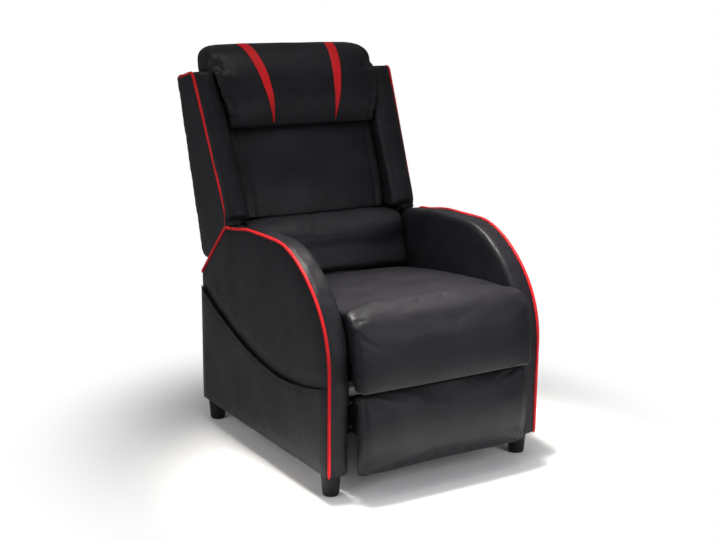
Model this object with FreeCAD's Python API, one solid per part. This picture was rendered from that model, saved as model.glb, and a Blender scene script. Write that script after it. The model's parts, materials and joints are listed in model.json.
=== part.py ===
import FreeCAD, Part
import math
import os

# A push-back gaming recliner, in millimetres. The chair faces -Y and +Z is up.
# Left is the sitter's left, on +X. Depths are measured back from the front of the arms.

V = FreeCAD.Vector

# Overall
HALF_WIDTH = 320.0        # centre to the outer face of a side pocket
SEAT_OVERHANG = 54.0      # how far the seat and footrest stand in front of the arms
BACK_REACH = 838.0        # from the front of the arms to the rear of the headrest pillow
BACK_TOP = 1036.0

# Arms
ARM_WIDTH = 65.0          # with the side pocket
BACK_OVERHANG = 131.0     # how far the pillow reaches behind the arms
ARM_TOP = 577.0
ARM_CURVE = 270.0         # radius of the curved front
ARM_HEEL_Z = 420.0        # height where the rear slope meets the rear face
ARM_CORNER = 40.0         # rounding between the top and the rear slope
ARM_HEEL = 14.0           # rounding between the rear slope and the rear face
BAND_T = 18.0             # thickness of the padded band
BAND_ROUND = 12.0         # rounding of the band toward the seat
INNER_BOARD = 12.0
OUTER_BOARD = 12.0
POST = 40.0               # timber post and rail size seen from the side
RAIL_SCREW_IN = 60.0      # how far a screw reaches into the rear rail
PIPING_D = 8.0

# Side pockets
POCKET_GAP = 5.5          # room inside a pocket
POCKET_SKIN = 2.5
POCKET_RIM = 14.0         # sewn edge round the pocket
POCKET_INSET = 8.0
MOUTH_BELOW_HEEL = 35.0   # from the arm's heel down to the mouth's rear end
MOUTH_DIP = 139.0         # from the mouth's rear end down to its lowest point
MOUTH_LOW_AT = 230.0      # depth of the lowest point
MOUTH_RISE = 34.0         # from the lowest point up to the mouth's front end

# Feet
FOOT_H = 57.0
FOOT_TOP_R = 25.0
FOOT_R = 21.0
FOOT_IN = 35.0            # from the outer face to a foot's centre
FOOT_FRONT = 40.0
FOOT_REAR = 33.0          # from the rear of the arm
BOLT_R = 4.0
FIT = 0.1                 # room round a fastener
FOOT_BOLT_L = 75.0
FOOT_BOLT_IN = 35.0       # how far a bolt reaches into its foot

# Steel linkage
PLATE = 4.0
LAYER_GAP = 3.0
PIN_R = 4.0
PIN_RUN = 0.05            # running room round a pin
HEAD_R = 7.0
HEAD_T = 2.0
EYE_R = 10.0              # end of a footrest link
SWING_EYE_R = 12.0
SWING_LENGTH = 90.0
SWING_LEAN = 15.0         # degrees that the swing links lean back at rest
SWING_SPAN = 230.0
SWING_DROP = 43.0         # from the seat frame down to the swing links' upper pivots
SWING_REAR_IN = 86.0      # from the base plate's rear end to the rear swing pivot
BASE_PLATE_FRONT = 90.0
BASE_PLATE_H = 50.0
RAIL_GAP = 3.0            # room between the base plates and the rear rail
TUBE = 25.0
TUBE_WALL = 2.0
TUBE_BEHIND = 30.0        # from a swing pivot back to its cross tube

# Seat
SEAT_SIDE_GAP = 5.0       # room between the seat and an arm
SEAT_FRAME_Z = 280.0
SEAT_RAIL_H = 52.0
SEAT_RAIL_T = 22.0
SEAT_FRAME_FRONT = 6.0
SEAT_TUCK = 80.0          # how far the seat frame reaches under the lumbar cushion
SEAT_FLANGE = 50.0
SEAT_PLATE_FRONT = 36.0
SEAT_PLATE_H = 56.0
SEAT_SKIRT = 12.0         # how far the cushion hangs below the seat frame at the front
SEAT_THICK = 178.0        # from the seat frame up to the cushion's crest, at the middle
SEAT_CREST_AT = 48.0
SEAT_FALL = 51.0          # from the crest down to the cushion's rear
SEAT_NOSE_DROP = 38.0     # from the crest down to where the rounded edge meets the front face
SEAT_CROWN = 12.0
SEAT_DRAW = 14.0          # how far the edges draw in at the sides
SEAT_SHOULDER = 40.0      # width over which they draw in
SPRING_WIRE = 3.6
SPRING_COUNT = 5
SPRING_WAVES = 9
SPRING_SWING = 26.0       # straight run of each zigzag
SOFT_GAP = 4.0            # room between soft pieces

# Footrest
REST_GAP = 10.0           # room between the seat and the footrest panel
REST_BOTTOM = 62.0
REST_DEPTH = 42.0         # pad and board together, at the middle
REST_BOARD_T = 12.0
REST_BOARD_MARGIN = 8.0
REST_CROWN = 9.0
REST_OUT = 122.0          # opened, the near edge stands this far in front of the arms
REST_LIFT = 70.0          # opened, the upper face stands this far above the seat frame
REST_PIVOT_BACK = 50.0    # from the board's rear face to the upper links' pivots
REST_PIVOT_DOWN = 93.0    # from the panel's top to the upper links' pivots
LINK_PIVOT = 60.0         # depth of the front links' pivots on the seat plate
LINK_DROP = 20.0          # from the seat frame down to those pivots
LINK_SPACING = 130.0      # from the front links' pivots to the rear links' pivots
GUIDE_ARM = 80.0          # between the two pivots at a front link's far end
LINK_TUBE_R = 8.0
LINK_TUBE_AT = 0.25       # place of the cross tube along a front link

# Back
HINGE_BEHIND = 70.0       # from the seat frame's rear to the recline hinge
HINGE_RISE = 35.0         # from the seat frame up to the recline hinge
HINGE_EYE = 16.0
BACK_BEHIND_ARM = 41.6    # from the arms' rear face to the foot of the back's rear face
REAR_LEAN = 11.6          # degrees
COVER_T = 14.0
COVER_STEP = 36.0         # the back is full width this far above the arms' heel
COVER_BELOW_WING = 16.0
FRAME_T = 24.0
FRAME_GAP = 2.0
FRAME_SIDE_GAP = 32.0      # from the back frame out to the wings
FRAME_RAIL = 40.0
FRAME_BELOW_COVER = 25.0
FRAME_TAIL = 15.0         # from the hinge up to the foot of the uprights
STRAP_T = 2.0
STRAP_W = 50.0
STRAP_COUNT = 3
BRACKET_H = 104.0
WING_ABOVE_ARM = 24.0
WING_DEPTH_LOW = 185.6    # from the rear face forward to the wing's edge, at the foot
WING_RUN = 163.0          # how far the wing's front edge runs back toward the top
WING_REAR_DROP = 24.0     # fall of the wing's top toward the rear
WING_SET_LOW = 20.0       # outer face of a wing inside the overall width, at the foot
WING_SET_HIGH = 3.0
WING_WIDTH_LOW = 70.0
WING_WIDTH_HIGH = 77.0
WING_CROWN = 14.0
WING_ROUND = 26.0
WING_BOARD_T = 12.0
WING_BOARD_MARGIN = 30.0
ARM_CLEAR = 12.0          # room between a wing and the rear slope of an arm
LUMBAR_LIFT = 21.0        # height of the lumbar cushion's underside over the seat's rear edge
COVER_TUCK = 11.0         # how far the rear cover reaches below that edge
LUMBAR_BELOW_ARM = 2.0
LUMBAR_SIDE_GAP = 5.0
LUMBAR_DEPTH = 258.6      # from the rear face forward to the lumbar cushion's front
PAD_DEPTH = 163.6         # the same for the mid-back cushion, at its foot
PAD_LEAN = 20.5           # degrees
PAD_CROWN = 10.0
PILLOW_H = 218.0
PILLOW_RISE = 65.0        # height of the pillow above the wings
PILLOW_CROWN = 22.0
PILLOW_EASE = 6.0         # room behind the pillow's lower half
STRIPE_IN = 99.0         # from the pillow's end to a stripe, at the top
STRIPE_SLANT = 41.0       # how far a stripe leans in toward its foot
STRIPE_W = 30.0
STRIPE_BOW = 12.0
STRIPE_T = 1.0

# Worked-out places across
ARM_IN = HALF_WIDTH - ARM_WIDTH
ARM_OUT = HALF_WIDTH - POCKET_GAP - POCKET_SKIN
FOOT_X = HALF_WIDTH - FOOT_IN
SEAT_HALF = ARM_IN - SEAT_SIDE_GAP
LUMBAR_HALF = ARM_IN - LUMBAR_SIDE_GAP
WING_OUT_LOW = HALF_WIDTH - WING_SET_LOW
WING_OUT_HIGH = HALF_WIDTH - WING_SET_HIGH
WING_IN_LOW = WING_OUT_LOW - WING_WIDTH_LOW
WING_IN_HIGH = WING_OUT_HIGH - WING_WIDTH_HIGH
FRAME_HALF = WING_IN_LOW - FRAME_SIDE_GAP
STRIPE_TOP_X = WING_IN_HIGH - STRIPE_IN
STRIPE_FOOT_X = STRIPE_TOP_X - STRIPE_SLANT

# Worked-out heights
SEAT_RAIL_TOP = SEAT_FRAME_Z + SEAT_RAIL_H
SEAT_PLATE_BOTTOM = SEAT_FRAME_Z - SEAT_PLATE_H
SEAT_FRONT_BOTTOM = SEAT_FRAME_Z - SEAT_SKIRT
SEAT_CREST = SEAT_FRAME_Z + SEAT_THICK
SEAT_REAR_TOP = SEAT_CREST - SEAT_FALL
SEAT_NOSE = SEAT_CREST - SEAT_NOSE_DROP
REST_TOP = SEAT_FRONT_BOTTOM - REST_GAP
REST_OPEN_TOP = SEAT_FRAME_Z + REST_LIFT
HINGE_Z = SEAT_FRAME_Z + HINGE_RISE
SWING_Z = SEAT_FRAME_Z - SWING_DROP - SWING_LENGTH * math.cos(math.radians(SWING_LEAN))
MOUTH_REAR = ARM_HEEL_Z - MOUTH_BELOW_HEEL
MOUTH_LOW = MOUTH_REAR - MOUTH_DIP
MOUTH_FRONT = MOUTH_LOW + MOUTH_RISE
LUMBAR_BOTTOM = SEAT_REAR_TOP + LUMBAR_LIFT
LUMBAR_TOP = ARM_TOP - LUMBAR_BELOW_ARM
WING_LOW = ARM_TOP + WING_ABOVE_ARM
PILLOW_TOP = BACK_TOP
PILLOW_BOTTOM = PILLOW_TOP - PILLOW_H
WING_HIGH = PILLOW_TOP - PILLOW_RISE
WING_REAR_TOP = WING_HIGH - WING_REAR_DROP
COVER_BOTTOM = SEAT_REAR_TOP - COVER_TUCK
COVER_WIDE = ARM_HEEL_Z + COVER_STEP
COVER_TOP = WING_HIGH - COVER_BELOW_WING
FRAME_TOP = COVER_TOP - FRAME_BELOW_COVER
FRAME_BOTTOM = HINGE_Z + FRAME_TAIL
FRAME_MID = (FRAME_TOP + COVER_BOTTOM) / 2
BRACKET_TOP = COVER_BOTTOM + BRACKET_H

# Worked-out depths
ARM_FRONT = (SEAT_OVERHANG - BACK_REACH) / 2
ARM_DEPTH = BACK_REACH - BACK_OVERHANG
ARM_SLOPE = ARM_DEPTH + ARM_HEEL_Z        # depth plus height of any point of the rear slope
REST_FRONT = -SEAT_OVERHANG
REST_REAR = REST_FRONT + REST_DEPTH
BASE_PLATE_REAR = ARM_DEPTH - BAND_T - POST - RAIL_GAP
SWING_FRONT = BASE_PLATE_REAR - SWING_REAR_IN - SWING_SPAN
REAR_FOOT_DEPTH = ARM_DEPTH + BACK_BEHIND_ARM
LUMBAR_FRONT = REAR_FOOT_DEPTH - LUMBAR_DEPTH
PAD_FRONT = REAR_FOOT_DEPTH - PAD_DEPTH
WING_LOW_DEPTH = REAR_FOOT_DEPTH - WING_DEPTH_LOW
WING_HIGH_DEPTH = WING_LOW_DEPTH + WING_RUN
SEAT_FRAME_REAR = LUMBAR_FRONT + SEAT_TUCK
HINGE_DEPTH = SEAT_FRAME_REAR + HINGE_BEHIND


def depth(d):
    """Y of a point d behind the front of the arms."""
    return ARM_FRONT + d


def layer(n):
    """Inner and outer X of the n-th sheet of the linkage, counted inward from an arm."""
    outer = ARM_IN - n * (PLATE + LAYER_GAP)
    return outer - PLATE, outer


BASE_LAYER, SWING_LAYER, SEAT_LAYER, LINK_LAYER, GUIDE_LAYER = [layer(n) for n in range(5)]

# Swing links: depth and height of their pivots at rest
LEAN = math.radians(SWING_LEAN)
SWING_BASE = [(SWING_FRONT + i * SWING_SPAN, SWING_Z) for i in range(2)]
SWING_HEAD = [(d + SWING_LENGTH * math.sin(LEAN), z + SWING_LENGTH * math.cos(LEAN))
              for d, z in SWING_BASE]

# Footrest linkage: the front link turns a right angle and the upper link stays parallel to itself
LINK_Z = SEAT_FRAME_Z - LINK_DROP
REST_PIVOT = (REST_REAR + REST_PIVOT_BACK, REST_TOP - REST_PIVOT_DOWN)
REST_PIVOT_OPEN = (-REST_OUT - REST_PIVOT_DOWN,
                   REST_OPEN_TOP - (REST_PIVOT[0] - REST_FRONT))
MOVE = (REST_PIVOT_OPEN[0] - REST_PIVOT[0], REST_PIVOT_OPEN[1] - REST_PIVOT[1])
FRONT_ARM = (-(MOVE[0] + MOVE[1]) / 2, (MOVE[0] - MOVE[1]) / 2)
FRONT_LENGTH = math.hypot(*FRONT_ARM)
FRONT_PIVOT = (LINK_PIVOT, LINK_Z)
REAR_PIVOT = (LINK_PIVOT + LINK_SPACING, LINK_Z)
FRONT_END = (FRONT_PIVOT[0] + FRONT_ARM[0], FRONT_PIVOT[1] + FRONT_ARM[1])
REAR_END = (FRONT_END[0] + LINK_SPACING, FRONT_END[1])
GUIDE_STEP = (-FRONT_ARM[0] * GUIDE_ARM / FRONT_LENGTH, -FRONT_ARM[1] * GUIDE_ARM / FRONT_LENGTH)
GUIDE_PIVOT = (FRONT_END[0] + GUIDE_STEP[0], FRONT_END[1] + GUIDE_STEP[1])
REST_GUIDE = (REST_PIVOT[0] + GUIDE_STEP[0], REST_PIVOT[1] + GUIDE_STEP[1])
HINGE = (HINGE_DEPTH, HINGE_Z)


def side_point(x, d, z):
    return V(x, depth(d), z)


def line(a, b):
    return Part.LineSegment(a, b).toShape()


def arc(a, mid, b):
    return Part.Arc(a, mid, b).toShape()


def outline(corners, place):
    """Closed wire through (u, v, radius) corners with rounded corners; place maps u, v to a point."""
    ends = []
    count = len(corners)
    for i in range(count):
        u, v, r = corners[i]
        pu, pv = corners[i - 1][:2]
        nu, nv = corners[(i + 1) % count][:2]
        a = (pu - u, pv - v)
        b = (nu - u, nv - v)
        la = math.hypot(*a)
        lb = math.hypot(*b)
        a = (a[0] / la, a[1] / la)
        b = (b[0] / lb, b[1] / lb)
        if r == 0:
            ends.append(((u, v), None, (u, v)))
            continue
        half = math.acos(max(-1.0, min(1.0, a[0] * b[0] + a[1] * b[1]))) / 2
        reach = r / math.tan(half)
        bis = (a[0] + b[0], a[1] + b[1])
        lbis = math.hypot(*bis)
        lift = r / math.sin(half) - r
        middle = (u + bis[0] / lbis * lift, v + bis[1] / lbis * lift)
        ends.append(((u + a[0] * reach, v + a[1] * reach), middle,
                     (u + b[0] * reach, v + b[1] * reach)))
    edges = []
    for i in range(count):
        start, middle, stop = ends[i]
        if middle:
            edges.append(arc(place(*start), place(*middle), place(*stop)))
        after = ends[(i + 1) % count][0]
        if math.hypot(after[0] - stop[0], after[1] - stop[1]) > 1e-6:
            edges.append(line(place(*stop), place(*after)))
    return Part.Wire(edges)


def side_plate(corners, x0, x1):
    """Sheet cut to a rounded outline of (depth, height, radius) corners."""
    wire = outline(corners, lambda d, z: side_point(x0, d, z))
    return Part.Face(wire).extrude(V(x1 - x0, 0, 0))


def front_plate(corners, d0, d1):
    """Sheet cut to a rounded outline of (x, height, radius) corners."""
    wire = outline(corners, lambda x, z: side_point(x, d0, z))
    return Part.Face(wire).extrude(V(0, d1 - d0, 0))


def box(x0, x1, d0, d1, z0, z1):
    return Part.makeBox(x1 - x0, d1 - d0, z1 - z0, side_point(x0, d0, z0))


def rod(d, z, r, x0, x1):
    """Round bar along X."""
    return Part.makeCylinder(r, x1 - x0, side_point(x0, d, z), V(1, 0, 0))


def mirrored(shape):
    return shape.mirror(V(0, 0, 0), V(1, 0, 0))


def save(name, *shapes):
    shape = shapes[0] if len(shapes) == 1 else Part.makeCompound(list(shapes))
    shape.exportStep("parts/" + name + ".step")


def save_pair(name, shape):
    save("left_" + name, shape)
    save("right_" + name, mirrored(shape))


def both(shapes):
    return list(shapes) + [mirrored(s) for s in shapes]


def save_both(name, *shapes):
    """One node that holds a left and a right piece of one kind."""
    save(name, *both(shapes))


# Arms

def arm_edges(inset, x):
    """Edges of an arm's side outline, from the front's foot over the top to the rear's foot."""
    front = inset
    rear = ARM_DEPTH - inset
    top = ARM_TOP - inset
    slope = ARM_SLOPE - inset * math.sqrt(2)
    centre = ARM_TOP - ARM_CURVE
    radius = ARM_CURVE - inset
    diag = radius / math.sqrt(2)
    turn = math.tan(math.radians(22.5))
    corner = max(ARM_CORNER - inset, 1.0)
    heel = max(ARM_HEEL - inset, 1.0)
    knee = slope - top
    foot = slope - rear
    s = math.sqrt(0.5)

    def p(d, z):
        return side_point(x, d, z)

    c0 = knee - corner * turn
    c1 = (knee + corner * turn * s, top - corner * turn * s)
    cm = (c0 + corner * math.sin(math.radians(22.5)),
          top - corner * (1 - math.cos(math.radians(22.5))))
    h0 = (rear - heel * turn * s, foot + heel * turn * s)
    h1 = foot - heel * turn
    hm = (rear - heel * (1 - math.cos(math.radians(22.5))),
          h1 + heel * math.sin(math.radians(22.5)))
    return [line(p(front, FOOT_H), p(front, centre)),
            arc(p(front, centre), p(ARM_CURVE - diag, centre + diag), p(ARM_CURVE, top)),
            line(p(ARM_CURVE, top), p(c0, top)),
            arc(p(c0, top), p(*cm), p(*c1)),
            line(p(*c1), p(*h0)),
            arc(p(*h0), p(*hm), p(rear, h1)),
            line(p(rear, h1), p(rear, FOOT_H))]


def arm_block(inset, x0, x1):
    edges = arm_edges(inset, x0)
    edges.append(line(edges[-1].Vertexes[-1].Point, edges[0].Vertexes[0].Point))
    return Part.Face(Part.Wire(edges)).extrude(V(x1 - x0, 0, 0))


def foot_holes():
    return [Part.makeCylinder(BOLT_R + FIT, FOOT_BOLT_L, side_point(FOOT_X, d, FOOT_H - FOOT_BOLT_IN))
            for d in (FOOT_FRONT, ARM_DEPTH - FOOT_REAR)]


def base_bolt_places():
    mid = SWING_FRONT + SWING_SPAN / 2
    return [(BASE_PLATE_FRONT + POST, SWING_Z), (mid, SWING_Z), (BASE_PLATE_REAR - POST / 2, SWING_Z)]


def rail_screw_places():
    return [(ARM_DEPTH - BAND_T - POST / 2, FOOT_H + POST * k) for k in (1.3, 2.05)]


def make_arms():
    band = arm_block(0, ARM_IN, ARM_OUT).cut(arm_block(BAND_T, ARM_IN - 1, ARM_OUT + 1))
    soft = [e for e in band.Edges
            if abs(e.BoundBox.XMin - ARM_IN) < 1e-6 and abs(e.BoundBox.XMax - ARM_IN) < 1e-6
            and e.BoundBox.ZMax > FOOT_H + 1 and on_outer_edge(e)]
    save_pair("arm_band", band.makeFillet(BAND_ROUND, soft))

    inner = arm_block(BAND_T, ARM_IN, ARM_IN + INNER_BOARD)
    outer = arm_block(BAND_T, ARM_OUT - OUTER_BOARD, ARM_OUT)
    for d, z in base_bolt_places() + rail_screw_places():
        inner = inner.cut(rod(d, z, BOLT_R + FIT, ARM_IN - 1, ARM_IN + INNER_BOARD + 1))
    save_pair("arm_inner_board", inner)
    save_pair("arm_outer_board", outer)

    x0 = ARM_IN + INNER_BOARD
    x1 = ARM_OUT - OUTER_BOARD
    rear = ARM_DEPTH - BAND_T
    posts = [box(x0, x1, BAND_T, BAND_T + POST, FOOT_H, ARM_TOP - ARM_CURVE),
             box(x0, x1, rear - POST, rear, FOOT_H, ARM_SLOPE - ARM_DEPTH - POST),
             box(x0, x1, BAND_T + POST, rear - POST, FOOT_H, FOOT_H + POST),
             box(x0, x1, BAND_T + POST, rear - POST, SWING_Z - POST / 2, SWING_Z + POST / 2),
             box(x0, x1, ARM_CURVE, ARM_SLOPE - ARM_TOP - POST, ARM_TOP - BAND_T - POST, ARM_TOP - BAND_T)]
    holes = foot_holes()
    holes += [rod(d, z, BOLT_R + FIT, x0 - 1, x1 + 1) for d, z in base_bolt_places() + rail_screw_places()]
    timbers = []
    for post in posts:
        for hole in holes:
            if post.BoundBox.intersect(hole.BoundBox):
                post = post.cut(hole)
        timbers.append(post)
    save("left_arm_timbers", *timbers)
    save("right_arm_timbers", *[mirrored(t) for t in timbers])

    path = Part.Wire(arm_edges(PIPING_D / 4, ARM_OUT)[:5])
    save_pair("arm_piping", welt(path, V(0, 0, 1)))


def on_outer_edge(edge):
    """True where an edge lies on the outside of an arm's outline, not round its boards."""
    point = edge.valueAt((edge.FirstParameter + edge.LastParameter) / 2)
    outside = arm_block(BAND_T / 2, ARM_IN - 1, ARM_IN + 1)
    return not outside.isInside(point, 1e-6, True)


def welt(path, direction):
    """Round piping along a path."""
    start = path.Vertexes[0].Point
    ring = Part.Wire(Part.Circle(start, direction, PIPING_D / 2).toShape())
    return path.makePipeShell([ring], True, True)


def make_pockets():
    x0 = ARM_OUT
    x1 = HALF_WIDTH
    front = POCKET_INSET
    rear = ARM_DEPTH - POCKET_INSET
    foot = FOOT_H + POCKET_INSET

    def panel(inset, xa, xb, low, rise):
        def p(d, z):
            return side_point(xa, d, z)
        a = p(front + inset, low)
        b = p(rear - inset, low)
        c = p(rear - inset, MOUTH_REAR + rise)
        low_point = p(MOUTH_LOW_AT, MOUTH_LOW + rise)
        f = p(front + inset, MOUTH_FRONT + rise)
        back_mid = p((rear + MOUTH_LOW_AT) / 2, MOUTH_LOW + (MOUTH_REAR - MOUTH_LOW) * 0.3 + rise)
        front_mid = p((front + MOUTH_LOW_AT) / 2, MOUTH_LOW + (MOUTH_FRONT - MOUTH_LOW) * 0.26 + rise)
        wire = Part.Wire([line(a, b), line(b, c), arc(c, back_mid, low_point),
                          arc(low_point, front_mid, f), line(f, a)])
        return Part.Face(wire).extrude(V(xb - xa, 0, 0))

    tray = panel(0, x0, x1, foot, 0)
    room = panel(POCKET_RIM, x0 - 1, x0 + POCKET_GAP, foot + POCKET_RIM, ARM_TOP)
    save_pair("side_pocket", tray.cut(room))


def make_feet():
    places = {"front": FOOT_FRONT, "rear": ARM_DEPTH - FOOT_REAR}
    for name, d in places.items():
        foot = Part.makeCone(FOOT_R, FOOT_TOP_R, FOOT_H, side_point(FOOT_X, d, 0))
        hole = Part.makeCylinder(BOLT_R + FIT, FOOT_BOLT_IN, side_point(FOOT_X, d, FOOT_H - FOOT_BOLT_IN))
        foot = foot.cut(hole)
        save("left_" + name + "_foot", foot)
        save("right_" + name + "_foot", mirrored(foot))
    bolts = [Part.makeCylinder(BOLT_R, FOOT_BOLT_L, side_point(FOOT_X, d, FOOT_H - FOOT_BOLT_IN))
             for d in places.values()]
    save("foot_bolts", *both(bolts))


# Base

def make_base():
    rail = box(-ARM_IN, ARM_IN, ARM_DEPTH - BAND_T - POST, ARM_DEPTH - BAND_T, FOOT_H, FOOT_H + 2.5 * POST)
    for d, z in rail_screw_places():
        for hole in both([rod(d, z, BOLT_R + FIT, ARM_IN - RAIL_SCREW_IN, ARM_IN + 1)]):
            rail = rail.cut(hole)
    save("rear_rail", rail)
    screws = [rod(d, z, BOLT_R, ARM_IN - RAIL_SCREW_IN, ARM_OUT - OUTER_BOARD)
              for d, z in rail_screw_places()]
    save("rail_screws", *both(screws))

    x0, x1 = BASE_LAYER
    z0 = SWING_Z - BASE_PLATE_H / 2
    z1 = SWING_Z + BASE_PLATE_H / 2
    plate = side_plate([(BASE_PLATE_FRONT, z0, 12), (BASE_PLATE_REAR, z0, 12),
                        (BASE_PLATE_REAR, z1, 12), (BASE_PLATE_FRONT, z1, 12)], x0, x1)
    for d, z in SWING_BASE + base_bolt_places():
        plate = plate.cut(rod(d, z, BOLT_R + FIT, x0 - 1, x1 + 1))
    save_both("base_plates", plate)
    bolts = [rod(d, z, BOLT_R, x0, ARM_OUT - OUTER_BOARD).fuse(rod(d, z, HEAD_R, x0 - HEAD_T, x0))
             for d, z in base_bolt_places()]
    save("base_bolts", *both(bolts))

    tubes = []
    for d, z in SWING_BASE:
        z = z - TUBE / 2
        d = d + TUBE_BEHIND
        tube = box(-x0, x0, d, d + TUBE, z, z + TUBE)
        w = TUBE_WALL
        tubes.append(tube.cut(box(-x0 - 1, x0 + 1, d + w, d + TUBE - w, z + w, z + TUBE - w)))
    save("base_cross_tubes", *tubes)

    inner = SWING_LAYER[0]
    pins = [rod(d, z, PIN_R, inner, ARM_IN).fuse(rod(d, z, HEAD_R, inner - HEAD_T, inner))
            for d, z in SWING_BASE]
    save("base_pivot_pins", *both(pins))


# Linkage

def bar(points, eye, where):
    """Flat link with a round end and a hole at each pivot."""
    x0, x1 = where
    shape = None
    for a, b in zip(points, points[1:]):
        run = math.hypot(b[0] - a[0], b[1] - a[1])
        u = ((b[0] - a[0]) / run, (b[1] - a[1]) / run)
        n = (-u[1] * eye, u[0] * eye)

        def p(end, side, along=0.0):
            return side_point(x0, end[0] + n[0] * side + u[0] * along, end[1] + n[1] * side + u[1] * along)
        wire = Part.Wire([line(p(a, 1), p(b, 1)), arc(p(b, 1), p(b, 0, eye), p(b, -1)),
                          line(p(b, -1), p(a, -1)), arc(p(a, -1), p(a, 0, -eye), p(a, 1))])
        part = Part.Face(wire).extrude(V(x1 - x0, 0, 0))
        shape = part if shape is None else shape.fuse(part).removeSplitter()
    return shape


def drilled(shape, points, where):
    for d, z in points:
        shape = shape.cut(rod(d, z, PIN_R + PIN_RUN, where[0] - 1, where[1] + 1))
    return shape


def rivets(points, outer, inner):
    """Pins with a head on each side, from an outer sheet through to an inner one."""
    pins = []
    for d, z in points:
        pin = rod(d, z, PIN_R, inner[0], outer[1])
        for x in (outer[1], inner[0] - HEAD_T):
            pin = pin.fuse(rod(d, z, HEAD_R, x, x + HEAD_T))
        pins.append(pin)
    return both(pins)


def make_swing_links():
    for name, i in (("front", 0), ("rear", 1)):
        ends = [SWING_BASE[i], SWING_HEAD[i]]
        save_both(name + "_swing_links", drilled(bar(ends, SWING_EYE_R, SWING_LAYER), ends, SWING_LAYER))
    save("swing_pins", *rivets(SWING_HEAD, SWING_LAYER, SEAT_LAYER))


def make_footrest_links():
    front = [FRONT_PIVOT, FRONT_END]
    save_both("front_footrest_links",
              drilled(bar(front, EYE_R, LINK_LAYER), front + [GUIDE_PIVOT], LINK_LAYER))
    rear = [REAR_PIVOT, REAR_END]
    save_both("rear_footrest_links", drilled(bar(rear, EYE_R, LINK_LAYER), rear, LINK_LAYER))
    upper = [REAR_END, FRONT_END, REST_PIVOT]
    save_both("upper_footrest_links", drilled(bar(upper, EYE_R, GUIDE_LAYER), upper, GUIDE_LAYER))
    lower = [GUIDE_PIVOT, REST_GUIDE]
    save_both("lower_footrest_links", drilled(bar(lower, EYE_R, GUIDE_LAYER), lower, GUIDE_LAYER))
    d = FRONT_PIVOT[0] + FRONT_ARM[0] * LINK_TUBE_AT
    z = FRONT_PIVOT[1] + FRONT_ARM[1] * LINK_TUBE_AT
    x = LINK_LAYER[0]
    tube = rod(d, z, LINK_TUBE_R, -x, x).cut(rod(d, z, LINK_TUBE_R - TUBE_WALL, -x - 1, x + 1))
    save("footrest_cross_tube", tube)
    save("front_link_pins", *rivets([FRONT_END, GUIDE_PIVOT], LINK_LAYER, GUIDE_LAYER))
    save("upper_link_pins", *rivets([REAR_END, REST_PIVOT], LINK_LAYER, GUIDE_LAYER))
    save("footrest_pins", *rivets([REST_GUIDE], LINK_LAYER, GUIDE_LAYER))


# Seat

def seat_screw_places():
    run = SEAT_FRAME_REAR - SEAT_FRAME_FRONT
    x = SEAT_LAYER[0] - SEAT_FLANGE / 2
    return [(x, SEAT_FRAME_FRONT + run * k) for k in (0.2, 0.5, 0.8)]


def make_seat_frame():
    x0, x1 = SEAT_LAYER
    web = box(x0, x1, SEAT_PLATE_FRONT, HINGE_DEPTH + HINGE_EYE, SEAT_PLATE_BOTTOM, SEAT_FRAME_Z)
    ear = bar([(HINGE_DEPTH, SEAT_FRAME_Z - HINGE_EYE), HINGE], HINGE_EYE, SEAT_LAYER)
    flange = box(x0 - SEAT_FLANGE, x1, SEAT_PLATE_FRONT, SEAT_FRAME_REAR, SEAT_FRAME_Z - PLATE, SEAT_FRAME_Z)
    plate = web.fuse([ear, flange]).removeSplitter()
    plate = drilled(plate, SWING_HEAD + [FRONT_PIVOT, REAR_PIVOT, HINGE], SEAT_LAYER)
    screw_r = BOLT_R / 2
    screw_l = SEAT_RAIL_H * 0.7
    for x, d in seat_screw_places():
        foot = side_point(x, d, SEAT_FRAME_Z - PLATE - 1)
        plate = plate.cut(Part.makeCylinder(screw_r + FIT, PLATE + 2, foot))
    save_pair("seat_plate", plate)
    save("seat_pivot_pins", *rivets([FRONT_PIVOT, REAR_PIVOT, HINGE], SEAT_LAYER, LINK_LAYER))

    side = box(x0 - SEAT_FLANGE, x0 - SEAT_FLANGE + 2 * SEAT_RAIL_T, SEAT_FRAME_FRONT + SEAT_RAIL_T,
               SEAT_FRAME_REAR - SEAT_RAIL_T, SEAT_FRAME_Z, SEAT_RAIL_TOP)
    screws = []
    for x, d in seat_screw_places():
        side = side.cut(Part.makeCylinder(screw_r + FIT, screw_l + 1, side_point(x, d, SEAT_FRAME_Z - 1)))
        screw = Part.makeCylinder(screw_r, screw_l + PLATE, side_point(x, d, SEAT_FRAME_Z - PLATE))
        head = Part.makeCylinder(HEAD_R, HEAD_T, side_point(x, d, SEAT_FRAME_Z - PLATE - HEAD_T))
        screws.append(screw.fuse(head))
    save_both("seat_side_rails", side)
    half = x0 - SEAT_FLANGE + 2 * SEAT_RAIL_T
    front = SEAT_FRAME_FRONT
    front_rail = box(-half, half, front, front + SEAT_RAIL_T, SEAT_FRAME_Z, SEAT_RAIL_TOP)
    rear = SEAT_FRAME_REAR
    rear_rail = box(-half, half, rear - SEAT_RAIL_T, rear, SEAT_FRAME_Z, SEAT_RAIL_TOP)
    save("seat_cross_rails", front_rail, rear_rail)
    save("seat_screws", *both(screws))
    save("seat_springs", *[zigzag(x) for x in spring_places(half)])


def spring_places(half):
    pitch = 2 * (half - SEAT_RAIL_T) / SPRING_COUNT
    return [(i - (SPRING_COUNT - 1) / 2) * pitch for i in range(SPRING_COUNT)]


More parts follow.
